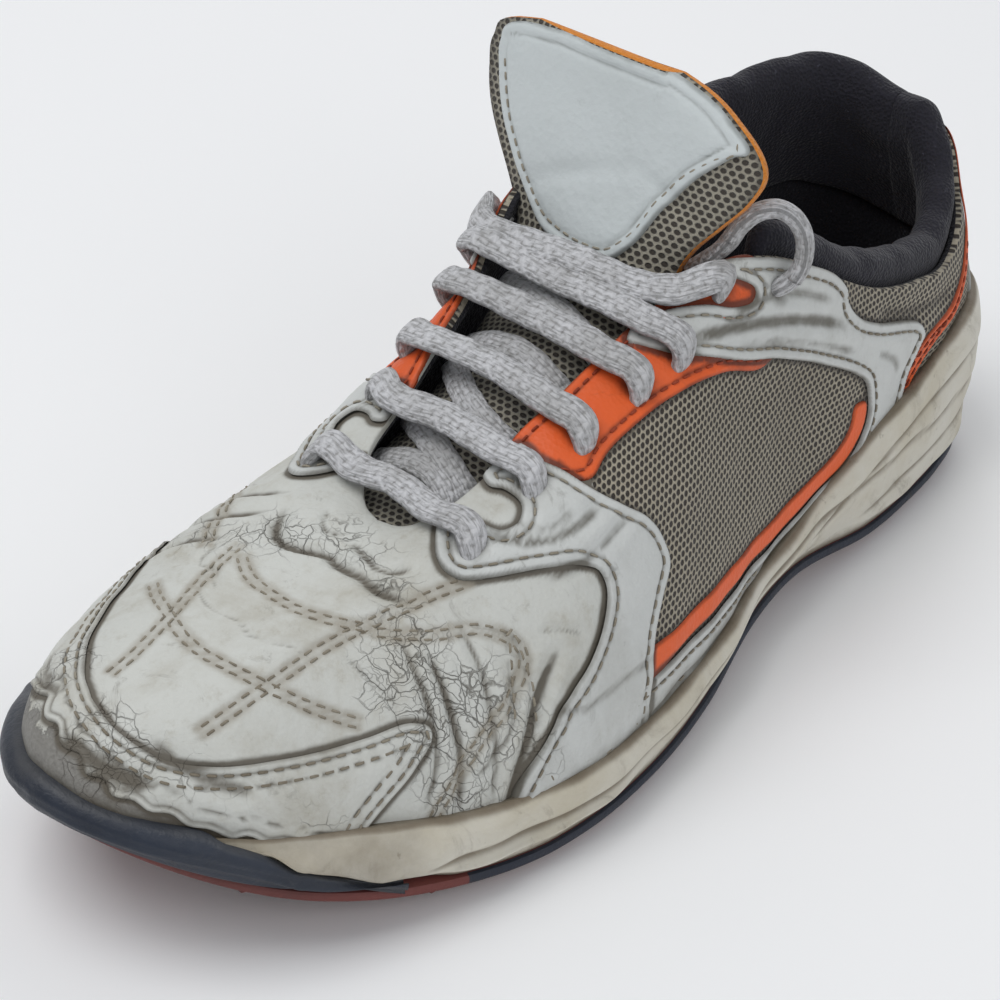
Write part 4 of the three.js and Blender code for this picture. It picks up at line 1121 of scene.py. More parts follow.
def shell_rows():
    outer = [(h, 0.0) for h in np.linspace(0, 1, SHELL_LEVELS)]
    edge = [(1.004, -0.35), (1.007, -1.3), (1.004, -2.2)]
    inner = [(h, -WALL) for h in np.linspace(1, 0, LINING_LEVELS)]
    return outer + edge + inner


def shell():
    tau = stations(350, 250)
    rows = shell_rows()
    points, darkening, seam, flat, uv = [], [], [], [], []
    arc = np.zeros(len(tau))
    before = None
    for h, off in rows:
        worn, _, smooth_points, row_darkening, one_seam = worn_skin(tau, h, np.full(len(tau), off))
        if h == 0 and off < 0:
            plan = ring(tau, curve(INSET, t_of(tau)) + WALL)
            worn = np.c_[plan, bottom_height(tau)]
        if before is not None:
            arc = arc + np.linalg.norm(smooth_points - before, axis=1)
        before = smooth_points
        points.append(worn)
        darkening.append(row_darkening)
        seam.append(one_seam)
        flat.append(smooth_points)
        uv.append(np.c_[tau * 0.345, arc / 1000])
    flat = np.concatenate(flat)
    level = np.repeat([h for h, _ in rows], len(tau))
    around = np.tile(tau, len(rows))
    faces = band_faces(len(rows), len(tau), closed_rows=True)
    row_of_face = np.repeat(np.arange(len(rows)), len(tau))
    face_tau = np.abs(wrap(np.tile(tau, len(rows))))
    face_h = np.array([rows[r][0] for r in row_of_face])
    kind = np.where(face_tau < MESH_START, 0, 1)
    kind = np.where(face_tau > np.interp(face_h, *DIAGONAL_LINE), 2, kind)
    kind = np.where(row_of_face >= SHELL_LEVELS + 1, 3, kind)
    edges = tree_of(np.concatenate([dense_line(loop, 0.5) for loop in OUTLINES.values()]))
    outside = level <= 1.0
    gap = np.full(len(flat), 9.0)
    gap[outside] = distance_to(flat[outside], edges)
    # Darker, as dirt and painted shade, in the folds, close to every panel's edge where the panels lie on the
    # shell, and near the bottom where it meets the sole.
    grime = np.maximum(np.concatenate(darkening), 1.1 * bell(gap, 1.2))
    grime = np.maximum(grime, 0.9 * bell(level, 0.06))
    from_toe = np.abs(wrap(around))
    bare = np.where(from_toe < 0.2, np.clip(1.15 - level / 0.3, 0, 1), 0)
    bare = bare * np.clip((TORN_END - from_toe) / 0.02, 0, 1)
    finishes = [VAMP_LEATHER, SIDE_MESH, FINE_MESH, SHADED_LINING]
    make_piece("upper_shell", np.concatenate(points), faces, finishes, "upper_leather", ["upper"],
               kind, np.concatenate(uv), grime=grime, crackle=near_spots(flat, CRACKED), bare=bare,
               seam=np.concatenate(seam))


shell()

# %% [markdown]
# ## Sole unit
# The midsole is a cup of foam. Its side wall is a smooth loft through the CAD section, with moulded
# lines pressed into it. The bumper and the tread are lofted in the same way from their own sections.

# %% Sole sections
def ground_at(a):
    return np.maximum(curve(GROUND, a), 0)


def tread_height(tau):
    return ground_at(ring(tau, curve(UNDERCUT, t_of(tau)) + 1)[:, 0])


def bumper_top(tau):
    least = 1.6 + 5.1 * np.clip((t_of(tau) - BUMPER_START) / 0.06, 0, 1)
    return np.maximum(sided(BUMPER_TOP, tau)[:, 0] - 6 * (least < 6), tread_height(tau) + SOLE_STACK + least)


def ease_between(value, low, high):
    share = np.clip((value - low) / (high - low), 0, 1)
    return share * share * (3 - 2 * share)


def set_in(tau):
    t = t_of(tau)
    return ease_between(t, BUMPER_START - 0.04, BUMPER_START - 0.01) * (curve(BUMPER_THICK, t) + 1.5 * GAP)


def level_points(plan, height):
    return np.c_[plan, np.broadcast_to(height, len(plan))]


def ring_rows(tau, *pairs):
    return [level_points(ring(tau, inset), height) for inset, height in pairs]


# Each moulded line: depth, width, then its height by t.
MOULDED_LINES = [
    (LATERAL, 0.9, 1.1, [(0, 22), (0.2, 22), (0.35, 20), (0.45, 15), (0.55, 11.5), (0.68, 10.5), (0.79, 14)]),
    (LATERAL, 0.8, 1.0, [(0, 33), (0.1, 32.5), (0.18, 30), (0.26, 25), (0.33, 18), (0.38, 12)]),
    (LATERAL, 0.6, 0.9, [(0, 15), (0.12, 14.5), (0.22, 13), (0.3, 10.5)]),
    (MEDIAL, 0.9, 1.1, [(0, 22), (0.2, 22), (0.35, 21), (0.45, 18), (0.55, 13.5), (0.68, 11.5), (0.79, 14)]),
    (MEDIAL, 0.8, 1.0, [(0, 33), (0.1, 32.5), (0.18, 30), (0.26, 25), (0.33, 19), (0.38, 13)]),
]


def near_moulded_lines(tau, z):
    for side, depth, width, line in MOULDED_LINES:
        here = (wrap(tau) >= 0) == (side == LATERAL)
        end = 1 - ease_between(t_of(tau), line[-1][0] - 0.04, line[-1][0])
        yield depth, here * end, bell(z - curve(line, t_of(tau)), width)


def moulded(tau, z):
    sink = np.zeros(len(tau))
    for depth, share, near in near_moulded_lines(tau, z):
        sink += share * depth * near
    return sink


def smooth_rows(rows, place, wanted):
    rows = np.asarray(rows)
    flat = smooth(np.c_[place, rows.reshape(len(rows), -1)], wanted)
    return list(flat.reshape(len(wanted), -1, 3))


def closed_loft(section, count):
    wanted = np.linspace(0, len(section), count + 1)[:-1]
    return smooth_rows(section + section[:1], np.arange(len(section) + 1.0), wanted), wanted


def strip_faces(count, start, up):
    half = count // 2
    faces = []
    for i in range(half):
        first, second = start + i, start + i + 1
        third, fourth = start + (count - i - 1) % count, start + (count - i) % count
        corners = [first, second, third, fourth]
        corners = [c for k, c in enumerate(corners) if c not in corners[:k]]
        if len(corners) > 2:
            faces.append(corners if up else corners[::-1])
    return faces


def filled_band(rows):
    count = len(rows[0])
    faces = band_faces(len(rows), count) + strip_faces(count, 0, False)
    return faces + strip_faces(count, (len(rows) - 1) * count, True)


def even_stations(half):
    return -1 + np.arange(2 * half) / half


# %% Midsole
# Where the wall's sections lie along its height, and where the loft's rows are wanted.
WALL_PLACES = [0, 2.6, 4.2, 6.4, 20, 21.5]
WALL_WANTED = np.r_[np.linspace(0, 6.4, 9)[:-1], np.linspace(6.4, 20, 26), 20.4, 20.8, 21.2, 21.5]
WEAR_LENGTH = 26


def midsole():
    tau = even_stations(300)
    t = t_of(tau)
    floor = tread_height(tau) + SOLE_STACK
    rim = sided(RIM, tau)[:, 0]
    inset = set_in(tau)
    wall = RIM_WALL + (1.5 - RIM_WALL) * ease_between(t, 0.78, 0.86)
    bumper = np.where(t < BUMPER_START - 1e-6, floor, bumper_top(tau))
    bare = np.clip((rim - bumper - 1) / 4, 0, 1)
    step = np.minimum(np.maximum(bumper, floor + 3), rim - 2.4)
    h = h_at_height(tau, rim)
    under = curve(UNDERCUT, t)
    upper, _ = skin(tau, h, GAP + wall)
    plan = ring(tau, inset * (1 - bare))
    crown, _ = skin(tau, h, GAP + wall * 0.6)
    lip, _ = skin(tau, h, GAP - 0.5)
    low = np.minimum(floor + 2.4, step - 0.3)
    sections = ring_rows(tau, (under + inset, floor), (under * 0.3 + inset, low), (inset, step)) + [
        level_points(plan * 0.75 + upper[:, :2] * 0.25, step + 0.6),
        level_points(upper[:, :2], rim - 1),
        level_points(crown[:, :2], rim)]
    rows = smooth_rows(sections, WALL_PLACES, WALL_WANTED)
    way = np.c_[outward(tau), np.zeros(len(tau))]
    for row in rows[2:]:
        row -= way * moulded(tau, row[:, 2])[:, None]
    worn = rng.normal(size=(7, 3)) * (2 * np.pi / WEAR_LENGTH)
    for row in rows[3:]:
        row += way * (0.16 * np.sin(row @ worn.T + LUMP_PHASES[:7]).sum(axis=1))[:, None]
    rows.append(level_points(lip[:, :2], rim - 0.3))
    rows.append(skin(tau, h * 0.5, GAP - 0.4)[0])
    rows += ring_rows(tau, (curve(INSET, t), bottom_height(tau) - 0.2))
    points = np.concatenate(rows)
    height = points[:, 2]
    around = np.tile(tau, len(rows))
    # Darker in the moulded lines, at the rim under the upper's edge and near the tread: dirt and painted
    # shade in grooves and at joins. Towards the toe the foam is dirtier.
    grime = np.zeros(len(points))
    for _, share, near in near_moulded_lines(around, height):
        grime = np.maximum(grime, share * 0.75 * near)
    grime = np.maximum(grime, 0.8 * bell(height - np.tile(rim, len(rows)), 1.0))
    grime = np.maximum(grime, 0.8 * bell(height - np.tile(floor, len(rows)), 2.4))
    grime = np.maximum(grime, 0.5 * ease_between(t_of(around), 0.72, 0.8))
    faces = filled_band(rows)
    make_piece("midsole_cup", points, faces, [MIDSOLE_FOAM], "midsole_foam", ["midsole"], grime=grime)


midsole()


# %% Toe bumper
# Two pressed lines: how far over the middle of its height, and how deep.
BUMPER_LINES = ((-0.8, 0.7), (1.6, 0.4))


def toe_bumper():
    reach = 1 - BUMPER_START
    tau = np.linspace(-reach, reach, 190)
    t = t_of(tau)
    floor = tread_height(tau) + SOLE_STACK + 0.3
    thick = curve(BUMPER_THICK, t)
    rim = sided(RIM, tau)[:, 0]
    top = bumper_top(tau)
    over = ease_between(top - rim, 0.4, 1.6)[:, None]
    h = h_at_height(tau, top)
    lip, nose = skin(tau, h, GAP - 0.6)[0][:, :2], skin(tau, h, GAP + 2.2)[0][:, :2]
    hook = over * lip + (1 - over) * ring(tau, thick)
    crest = over * nose + (1 - over) * ring(tau, thick * 0.3)
    under = curve(UNDERCUT, t)
    low_inner = np.minimum(top - 1.4, rim + 0.45) * over[:, 0] + (top - 1.3) * (1 - over[:, 0])
    section = ring_rows(tau, (under * 0.84 + thick, floor), (under, floor), (under * 0.3, floor + 2.1),
                        (0, np.maximum(top - 3.4, floor + 2.8))) + [
        level_points(crest, top - 0.5),
        level_points(hook, top - 0.1),
        level_points(over * hook + (1 - over) * ring(tau, thick), top - 1.1)]
    section += ring_rows(tau, (thick, low_inner), (thick, np.minimum(rim - 2.6, top - 2.2)),
                         (thick + under * 0.3, floor + 2.1))
    rows, wanted = closed_loft(section, 55)
    way = np.c_[outward(tau), np.zeros(len(tau))]
    share = ease_between(reach - np.abs(tau), 0.0, 0.03)
    middle = (floor + top) / 2
    for k, row in enumerate(rows):
        if 1.2 < wanted[k] < 4.6:
            for shift, depth in BUMPER_LINES:
                row -= way * (share * depth * bell(row[:, 2] - middle - shift, 0.55))[:, None]
    points, faces = capped_tube(np.stack(rows, axis=1))
    height = points[:, 2]
    full = np.r_[np.repeat(top, len(rows)), top[0], top[-1]]
    middle = np.r_[np.repeat(middle, len(rows)), 20, 20]
    # Darker along the top, under the upper's edge, and in the lower pressed line: painted shade together with
    # dirt.
    grime = 0.5 * bell(height - full, 0.8) + 0.5 * bell(height - middle + 0.8, 0.6)
    make_piece("toe_bumper_rubber", points, faces, [BUMPER_RUBBER], "bumper_rubber", ["toe_bumper"],
               grime=grime)


toe_bumper()


# %% Tread
LUG_PITCH, LUG_LENGTH, LUG_SLANT, LUG_DEPTH, PLATE = 10.5, 7.4, 5.0, 2.2, 2.6
FIRST_LUG, LAST_LUG = 13, 262
ARCH_START, ARCH_END = 82, 128
LUG_INNER = 3.2
TOE_STATION = 240
NAVY_END = 0.74


def edge_at(side, station):
    table = EDGE[side]
    return abs(table[np.argmax(table[:, 1] >= station), 2])


def tread_lug(side, station):
    half = LUG_LENGTH / 2
    tip = station + LUG_SLANT + half
    reach = min(edge_at(side, station - half), edge_at(side, tip))
    inner, outer = side * LUG_INNER, side * (reach - (8.5 if tip > TOE_STATION else 4.2))
    corners = [(station - half, inner), (station + half, inner),
               (station + half + LUG_SLANT, outer), (station - half + LUG_SLANT, outer)]
    corners = np.array(corners)
    middle = corners.mean(axis=0)
    ground = ground_at(corners[:, 0])
    rows = [level_points(corners, ground + LUG_DEPTH + 0.5), level_points(corners, ground + 0.7),
            level_points(middle + (corners - middle) * 0.93, ground)]
    faces = band_faces(3, 4) + [[3, 2, 1, 0], [8, 9, 10, 11]]
    return np.concatenate(rows), faces


def tread():
    tau = even_stations(220)
    low = tread_height(tau) + LUG_DEPTH
    inset = curve(UNDERCUT, t_of(tau)) - 1
    rows = ring_rows(tau, (inset + 1.2, low), (inset + 0.4, low + 0.25), (inset, low + 0.9),
                     (inset, low + PLATE - 0.7), (inset + 0.3, low + PLATE - 0.2), (inset + 1, low + PLATE))
    count = len(tau)
    points = [np.concatenate(rows)]
    faces = filled_band(rows)
    navy = t_of(tau) < NAVY_END
    kind = [int(navy[k % count] and k // count >= 1) for k in range((len(rows) - 1) * count)]
    kind += [0] * (len(faces) - len(kind))
    total = len(points[0])
    for station in np.arange(FIRST_LUG, LAST_LUG, LUG_PITCH):
        if ARCH_START <= station <= ARCH_END:
            continue
        for side in (LATERAL, MEDIAL):
            lug_points, lug_faces = tread_lug(side, station)
            faces += [[total + k for k in face] for face in lug_faces]
            kind += [0] * len(lug_faces)
            points.append(lug_points)
            total += len(lug_points)
    points = np.concatenate(points)
    # Darker at the ground's level, on the lugs' faces.
    grime = 0.5 * bell(points[:, 2] - ground_at(points[:, 0]), 0.8)
    piece = make_piece("outsole_tread", points, faces, [TREAD_RUBBER, TREAD_EDGE], "tread_rubber",
                       ["outsole"], kind, grime=grime)
    bpy.context.view_layer.objects.active = piece
    piece.select_set(True)
    bpy.ops.object.shade_smooth_by_angle(angle=math.radians(35))
    piece.select_set(False)


tread()


# %% Insole
DISH = 1.1


def insole():
    tau = even_stations(90)
    t = t_of(tau)
    clear = curve(INSET, t) + WALL + 0.9
    low = bottom_height(tau) + 0.1
    lean = 1.2 * ease_between(t, 0.5, 0.8)
    rows = ring_rows(tau, (clear + 0.6, low), (clear, low + 0.6), (clear + lean, low + INSOLE - 0.8),
                     (clear + lean + 0.8, low + INSOLE))
    last_row = rows[-1]
    other = last_row[(-np.arange(len(tau))) % len(tau)]
    for share in (0.08, 0.2, 0.34, 0.46):
        row = last_row * (1 - share) + other * share
        row[:, 2] -= DISH * math.sin(math.pi * share)
        rows.append(row)
    make_piece("insole_cloth", np.concatenate(rows), filled_band(rows), [SHADED_LINING], "insole_foam", ["insole"])


insole()

# %% [markdown]
# ## Collar pad
# The collar is a foam roll in dark cloth, thickest under the ankle bones. Cloth simulation could fill
# it, but its section is known all round, so it is a loft through that section, made slack with
# shallow puckers.

# %% Collar pad
PAD_END = 0.40
PUCKER_LENGTH, PUCKER_HEIGHT = 16, 0.13
# Distance in from the last, height over the collar's edge.
PAD_SECTION = [
    (WALL + 1.2, -27), (WALL + 1, -14), (WALL + 1, -3), (WALL - 0.6, 2.2), (WALL + 0.4, 6.2),
    (WALL + 4.0, 8.0), (WALL + 7.0, 5.8), (WALL + 8.0, 0), (WALL + 6.8, -9), (WALL + 4.2, -20),
    (WALL + 2.2, -27.5)]


def pad_ring(tau, inset, rise):
    edge = sided(OPENING, tau)[:, 2]
    fade = ease_between(PAD_END - t_of(tau), -0.02, 0.06)
    h = h_at_height(tau, np.minimum(edge, edge + rise))
    scale = np.where(inset > WALL + 2, 0.55 + 0.45 * fade, 1)
    depth = WALL + 1 + (inset - WALL - 1) * scale
    points, _ = skin(tau, h, -depth)
    floor = bottom_height(tau) + INSOLE + 2
    points[:, 2] = edge + rise * (0.6 + 0.4 * fade) if rise > 0 else np.maximum(points[:, 2], floor)
    return points


def collar_pad():
    tau = np.linspace(1 - PAD_END, 1 + PAD_END, 230)
    rows, _ = closed_loft([pad_ring(tau, inset, rise) for inset, rise in PAD_SECTION], 60)
    rings = np.stack(rows, axis=1)
    middle = rings.mean(axis=1, keepdims=True)
    share = np.minimum(1, (PAD_END - np.abs(tau - 1)) / 0.02 + 0.02)
    share = np.sqrt(1 - (1 - np.clip(share, 0, 1)) ** 2)[:, None, None]
    rings = middle + (rings - middle) * np.maximum(share, 0.15)
    flat = rings.reshape(-1, 3)
    waves = rng.normal(size=(8, 3)) * (2 * np.pi / PUCKER_LENGTH)
    swell = np.sin(flat @ waves.T + LUMP_PHASES[:8]).sum(axis=1) * PUCKER_HEIGHT
    flat = flat + unit(flat - np.repeat(middle[:, 0], len(rows), axis=0)) * swell[:, None]
    points, faces = capped_tube(flat.reshape(rings.shape))
    pad = make_piece("collar_padding", points, faces, [LINING], "lining", ["collar_pad"])


collar_pad()

# %% [markdown]
# ## Tongue
# The tongue is a pad with mesh cloth in front and a yellow-orange lining behind. It rises from under
# the laces, stands almost upright at its top and widens there. A leather shield is sewn on its face.

# %% Tongue
TONGUE_MIDDLE = 1.0
# Distance from the heel, height, outer and inner half widths, sag at the edges, thickness.
TONGUE = [
    (211, 48.8, 13, 13, 2.2, 2.4), (203, 50.4, 14.5, 14.5, 3.2, 3.2), (195, 52.2, 16, 16, 4.6, 4.2),
    (180, 58.2, 17.5, 17.5, 6.6, 5), (165, 65.2, 18, 18.5, 7.6, 5.2), (150, 72.4, 18, 20, 7.8, 5.2),
    (140, 76.8, 18, 22, 7.4, 5.4), (133, 80.4, 16.5, 24, 6.8, 5.4), (128.5, 85, 14.5, 27, 5.4, 5.2),
    (125, 91, 16, 32, 4.6, 5.2), (122, 97.5, 21, 38, 4.4, 5.4), (119.4, 104, 26, 43, 4.4, 5.6),
    (117.2, 110.5, 27.5, 45.5, 4.2, 5.8), (115.6, 117, 20.5, 45.5, 3.6, 5.2), (114.6, 122, 11, 41, 3.0, 4.2),
    (114.3, 124, 5, 33, 2.4, 2.6)]
TONGUE_RUN = run_in_plane(np.array(TONGUE)[:, :2])
TONGUE_TABLE = np.c_[TONGUE_RUN, TONGUE]
# Depth, width and both ends as (distance along the tongue, share of the half width).
TONGUE_FOLDS = [
    (0.7, 2.2, (98, -0.9), (112, 0.1)), (0.6, 2.0, (104, 0.9), (112, 0.0)),
    (0.5, 2.4, (84, -0.8), (92, 0.5))]


def tongue_frame(run):
    a, z, lateral, medial, sag, thick = smooth(TONGUE_TABLE, run).T
    ahead, behind = smooth(TONGUE_TABLE, run + 0.7), smooth(TONGUE_TABLE, run - 0.7)
    way = unit(np.c_[ahead[:, 0] - behind[:, 0], ahead[:, 1] - behind[:, 1]])
    face = np.c_[way[:, 1], np.zeros(len(run)), -way[:, 0]]
    face *= np.where((face[:, 2] < 0) | ((np.abs(face[:, 2]) < 0.2) & (face[:, 0] < 0)), -1, 1)[:, None]
    return a, z, lateral, medial, sag, thick, face


def tongue_skin(run, share, off=0.0, under=False):
    run, share = np.broadcast_arrays(np.atleast_1d(run), np.atleast_1d(share))
    a, z, lateral, medial, sag, thick, face = tongue_frame(run)
    x = np.where(share > 0, share * lateral, share * medial) + TONGUE_MIDDLE
    drop = sag * share**2
    for depth, width, (run_a, share_a), (run_b, share_b) in TONGUE_FOLDS:
        along = np.clip((share - share_a) / (share_b - share_a), -0.1, 1.1)
        line = run_a + (run_b - run_a) * along
        fade = np.clip(1 - np.abs(along - 0.5) * 1.6, 0, 1)
        drop = drop + depth * fade * bell(run - line, width) * (0 if under else 1)
    if under:
        drop = drop + thick * (0.35 + 0.65 * (1 - np.abs(share) ** 3))
    else:
        drop = drop - 0.9 * (1 - np.abs(share) ** 4) * ease_between(run, 95, 120)
    return np.c_[a, x, z] + face * (np.asarray(off) - drop)[:, None]


def tongue():
    runs = np.linspace(0, TONGUE_RUN[-1], 150)
    front_share = np.sin(np.linspace(-1, 1, 57) * math.pi / 2)
    back_share = front_share[::-1]
    rings, uv = [], []
    for run in runs:
        front = tongue_skin(run, front_share)
        back = tongue_skin(run, back_share, 0.0, True)
        side = np.concatenate([front, back])
        rings.append(side)
        uv.append(np.c_[side[:, 1] / 1000, np.full(len(side), run / 1000)])
    rings = np.array(rings)
    points, faces = capped_tube(rings)
    uv = np.concatenate([*uv, uv[0][:1], uv[-1][:1]])
    column = np.tile(np.arange(len(front_share) * 2), len(runs) - 1)
    kind = np.where(column >= len(front_share) - 1, 1, 0)
    kind = np.concatenate([kind, np.ones(len(faces) - len(kind), int)])
    share = np.tile(np.r_[front_share, back_share], len(runs))
    # Darker along the side edges, where the front and back meet: dirt together with painted shade.
    grime = np.r_[0.75 * bell(1 - np.abs(share), 0.06), 0, 0]
    body = make_piece("tongue_body", points, faces, [TONGUE_MESH, YELLOW_LINING], "tongue_leather",
                      ["tongue"], kind, uv, grime=grime)


tongue()

# %% Shield on the tongue
# Its outline as (distance down from the tongue's top, share of the half width).
RUN_TOP = TONGUE_RUN[-1]
SHIELD = [(RUN_TOP - down, share) for down, share in [
    (0.4, -0.82), (0.2, -0.45), (0.2, -0.05), (0.3, 0.45), (1.2, 0.88), (4.0, 0.945), (7.5, 0.955),
    (10.2, 0.96), (11.4, 0.92), (12.6, 0.80), (17.5, 0.60), (27, 0.45), (35.7, 0.37), (40.4, 0.18),
    (42.6, 0.0), (43.2, -0.18), (42.6, -0.45), (40, -0.72), (35, -0.84), (26, -0.89), (18.9, -0.90),
    (10, -0.92), (4.5, -0.94), (1.6, -0.93)]]
SHIELD_CENTRE = np.array([RUN_TOP - 19, -0.25])
SHIELD_HEIGHT, SHIELD_ROW = 1.1, 2.6


def smooth_loop(knots, count):
    again = np.array(knots[-3:] + knots + knots[:4], float)
    chord = run_along(again * (1, 28))
    return smooth(np.c_[chord, again], np.linspace(chord[3], chord[3 + len(knots)], count + 1)[:-1])


def shield():
    loop = smooth_loop(SHIELD, 260)[::-1]
    fine = smooth_loop(SHIELD, 1400)
    edge = tree_of(tongue_skin(fine[:, 0], fine[:, 1]))
    shrinks = np.r_[0.9975, 0.99, 0.975, 0.955, np.linspace(0.93, 0.05, 30)]
    rings = [SHIELD_CENTRE + (loop - SHIELD_CENTRE) * shrink for shrink in shrinks]
    net = np.concatenate([loop, *rings, SHIELD_CENTRE[None]])
    points = tongue_skin(net[:, 0], net[:, 1])
    gap = distance_to(points, edge)
    lift = edge_profile(gap, SHIELD_HEIGHT, (SHIELD_ROW,)) + 0.1
    top = tongue_skin(net[:, 0], net[:, 1], lift)
    under = tongue_skin(net[:, 0], net[:, 1], -0.5)[len(loop):]
    count, rows = len(loop), len(rings) + 1
    faces = band_faces(rows, count)
    last = rows * count
    faces += [[(rows - 1) * count + i, (rows - 1) * count + (i + 1) % count, last] for i in range(count)]
    shift = len(net) - count
    below = [[k if k < count else k + shift for k in face][::-1] for face in faces]
    # Darker along the shield's edge and in its stitch groove: painted shade together with dirt.
    grime = 0.5 * bell(gap, 0.6) + 0.45 * bell(gap - SHIELD_ROW, 0.5)
    grime = np.r_[grime, grime[count:]]
    crackle = np.full(len(grime), 0.16)
    make_piece("tongue_shield", np.concatenate([top, under]), faces + below, [SHIELD_LEATHER],
               "tongue_leather", grime=grime, crackle=crackle)
    return loop


SHIELD_LOOP = shield()

# %% [markdown]
# ## Lace
# Six bars cross the throat, each from an eyelet on one side to one on the other, and dive through
# them. Between the bars the lace's hidden runs show on the tongue. All are one flat woven sleeve.

# %% Lace bars
# For each bar: t and h of the outer eyelet and of the inner one, distance from the heel and least
# height of its middle, how far it leans, and how far it arches.
CROSSINGS = [
    (0.715, 0.845, 0.725, 0.86, 194, 60.4, 0.25, 0.4), (0.642, 0.87, 0.638, 0.90, 177, 67, 0.36, 0.4),
    (0.588, 0.856, 0.585, 0.86, 162.5, 72.6, 0.4, 0.5), (0.53, 0.838, 0.53, 0.85, 148.5, 78.8, 0.42, 0.5),
    (0.487, 0.82, 0.487, 0.84, 139, 83.4, 0.45, 0.3), (0.440, 0.93, 0.470, 0.93, 135, 86.6, 0.6, -6)]
LACE_WIDTH, LACE_THICK = 7.0, 3.1
LACE_STEPS, LACE_AROUND = 84, 24
FLAP_LEVEL = 0.985


def lace_piece(name, route, lean, width, thick, replaced=(), twist=0.0):
    middle, run = along_route(route, LACE_STEPS)
    roll = twist * np.sin(np.linspace(0, 2 * np.pi, len(middle)) + rng.uniform(0, 6))
    across = np.c_[np.ones(len(middle)), np.zeros(len(middle)), roll - lean]
    ends = np.minimum(run, run[-1] - run)
    narrow = 0.80 + 0.20 * ease_between(ends, 1.5, 8)
    wave = 1 + 0.025 * np.sin(run * 0.9 + rng.uniform(0, 6)) + 0.02 * np.sin(run * 0.37)
    thick = thick * (1.12 - 0.12 * narrow) * wave
    points, faces = capped_tube(tube_rings(middle, across, width * narrow * wave, thick, LACE_AROUND))
    make_piece(name, points, faces, [LACE], "lace", replaced, uv=sleeve_map(run, LACE_AROUND))


def flap_edge_at(side, a):
    tau = side * np.linspace(0.2, 0.66, 400)
    edge, _ = skin(tau, np.full(400, FLAP_LEVEL), 0.0)
    return float(np.interp(-a, -edge[:, 0], tau))


def bar_half(side, t, h, middle, lift):
    tau = side * (1 - t)
    hole, rise = skin(tau, h - 0.045, -2.2)[0][0], skin(tau, h - 0.02, lift - 1.6)[0][0]
    face = skin(tau, h + 0.012, lift + 0.2)[0][0]
    over_tau = flap_edge_at(side, 0.45 * face[0] + 0.55 * middle[0])
    over = skin(over_tau, FLAP_LEVEL, lift + 0.2)[0][0]
    return [hole, rise, face, over]


def lace_bar(number, crossing):
    lateral_t, lateral_h, medial_t, medial_h, middle_a, middle_z, lean, arch = crossing
    lift = LACE_THICK / 2 + 1.3
    middle = np.array([middle_a, 0.0, middle_z])
    outer = bar_half(LATERAL, lateral_t, lateral_h, middle, lift)
    inner = bar_half(MEDIAL, medial_t, medial_h, middle, lift)
    straight = (outer[-1] + inner[-1]) / 2
    middle = np.array([middle_a, straight[1], max(middle_z, straight[2] + arch)])
    route = [*outer, middle, *inner[::-1]]
    bar = f"lace_bar_{number}"
    lace_piece(f"{bar}_woven", route, lean, LACE_WIDTH, LACE_THICK, [bar], 0.16)


for number, crossing in enumerate(CROSSINGS, 1):
    lace_bar(number, crossing)


# %% Hidden runs on the tongue
def tongue_run_at(a):
    table = np.array(TONGUE)
    return np.interp(-a, -table[:, 0], TONGUE_RUN)


# From the outer to the inner side: distance from the heel, share of the half width.
UNDER_RUNS = [
    (191, 0.92, 183, 0.1, 183, -0.92), (186, 0.95, 181, 0.3, 172, -0.95), (171, 0.95, 168, 0.0, 158, -0.95),
    (157, 0.95, 153, 0.0, 152, -0.95), (146, 0.95, 142, 0.1, 136, -0.95)]


def under_run(number, run_points):
    knots = np.array(run_points, float).reshape(3, 2)
    share = np.linspace(0, 1, 3)
    dense = smooth(np.c_[share, knots], np.linspace(0, 1, 9))
    lift = LACE_THICK * 0.36 + 0.25 * np.sin(np.linspace(0, math.pi, 9))
    route = tongue_skin(tongue_run_at(dense[:, 0]), dense[:, 1], lift)
    lace_piece(f"lace_under_{number}", route, 0.4, LACE_WIDTH * 0.88, LACE_THICK * 0.72, (), 0.1)


for number, run_points in enumerate(UNDER_RUNS, 1):
    under_run(number, run_points)

# %% Hidden end of the loop
# Behind the tongue's edge the loop's lace goes on down inside the shoe, where it can't be seen.
HIDDEN_END = [(113.2, 23.6, 94.2), (114.2, 21.8, 90.6), (115.6, 18.6, 86.6), (117.4, 15.0, 83.2)]

# The other end turns in over the panel and dives into the top eyelet.
INTO_EYELET = [(0.612, 0.885, 2.4), (0.617, 0.872, -0.4), (0.620, 0.86, -2.2)]
EYELET_END = [(104.4, 34.6, 87.0), (105.6, 33.9, 84.2)] + [skin(*place)[0][0] for place in INTO_EYELET]
for end_name, end_route in (("lace_hidden_end", HIDDEN_END), ("lace_eyelet_end", EYELET_END)):
    lace_piece(end_name, end_route, 0.2, LOOP_WIDTH * 0.98, LOOP_WIDTH * 0.86)

# %% [markdown]
# ## Stitches
# A seam is a row of short thread loops. One loop is modelled once, with few faces, and copied along
# each seam, lying in its groove with both ends pulled down into the leather.

# %% Stitches
def thread_loop(length=2.2, radius=0.28, buried=-0.42):
    points = [(-0.5 * length, 0, buried)]
    for x, lift in ((-0.36, 0.0), (0.0, 0.10), (0.36, 0.0)):
        for k in range(6):
            angle = 2 * math.pi * k / 6
            points.append((x * length, radius * math.cos(angle), radius * math.sin(angle) * 0.85 + lift))
    points.append((0.5 * length, 0, buried))
    faces = [[0, 1 + (k + 1) % 6, 1 + k] for k in range(6)]
    for row in range(2):
        for k in range(6):
            first, second = 1 + row * 6 + k, 1 + row * 6 + (k + 1) % 6
            faces.append([first, second, second + 6, first + 6])
    faces += [[13 + k, 13 + (k + 1) % 6, 19] for k in range(6)]
    return np.array(points), faces


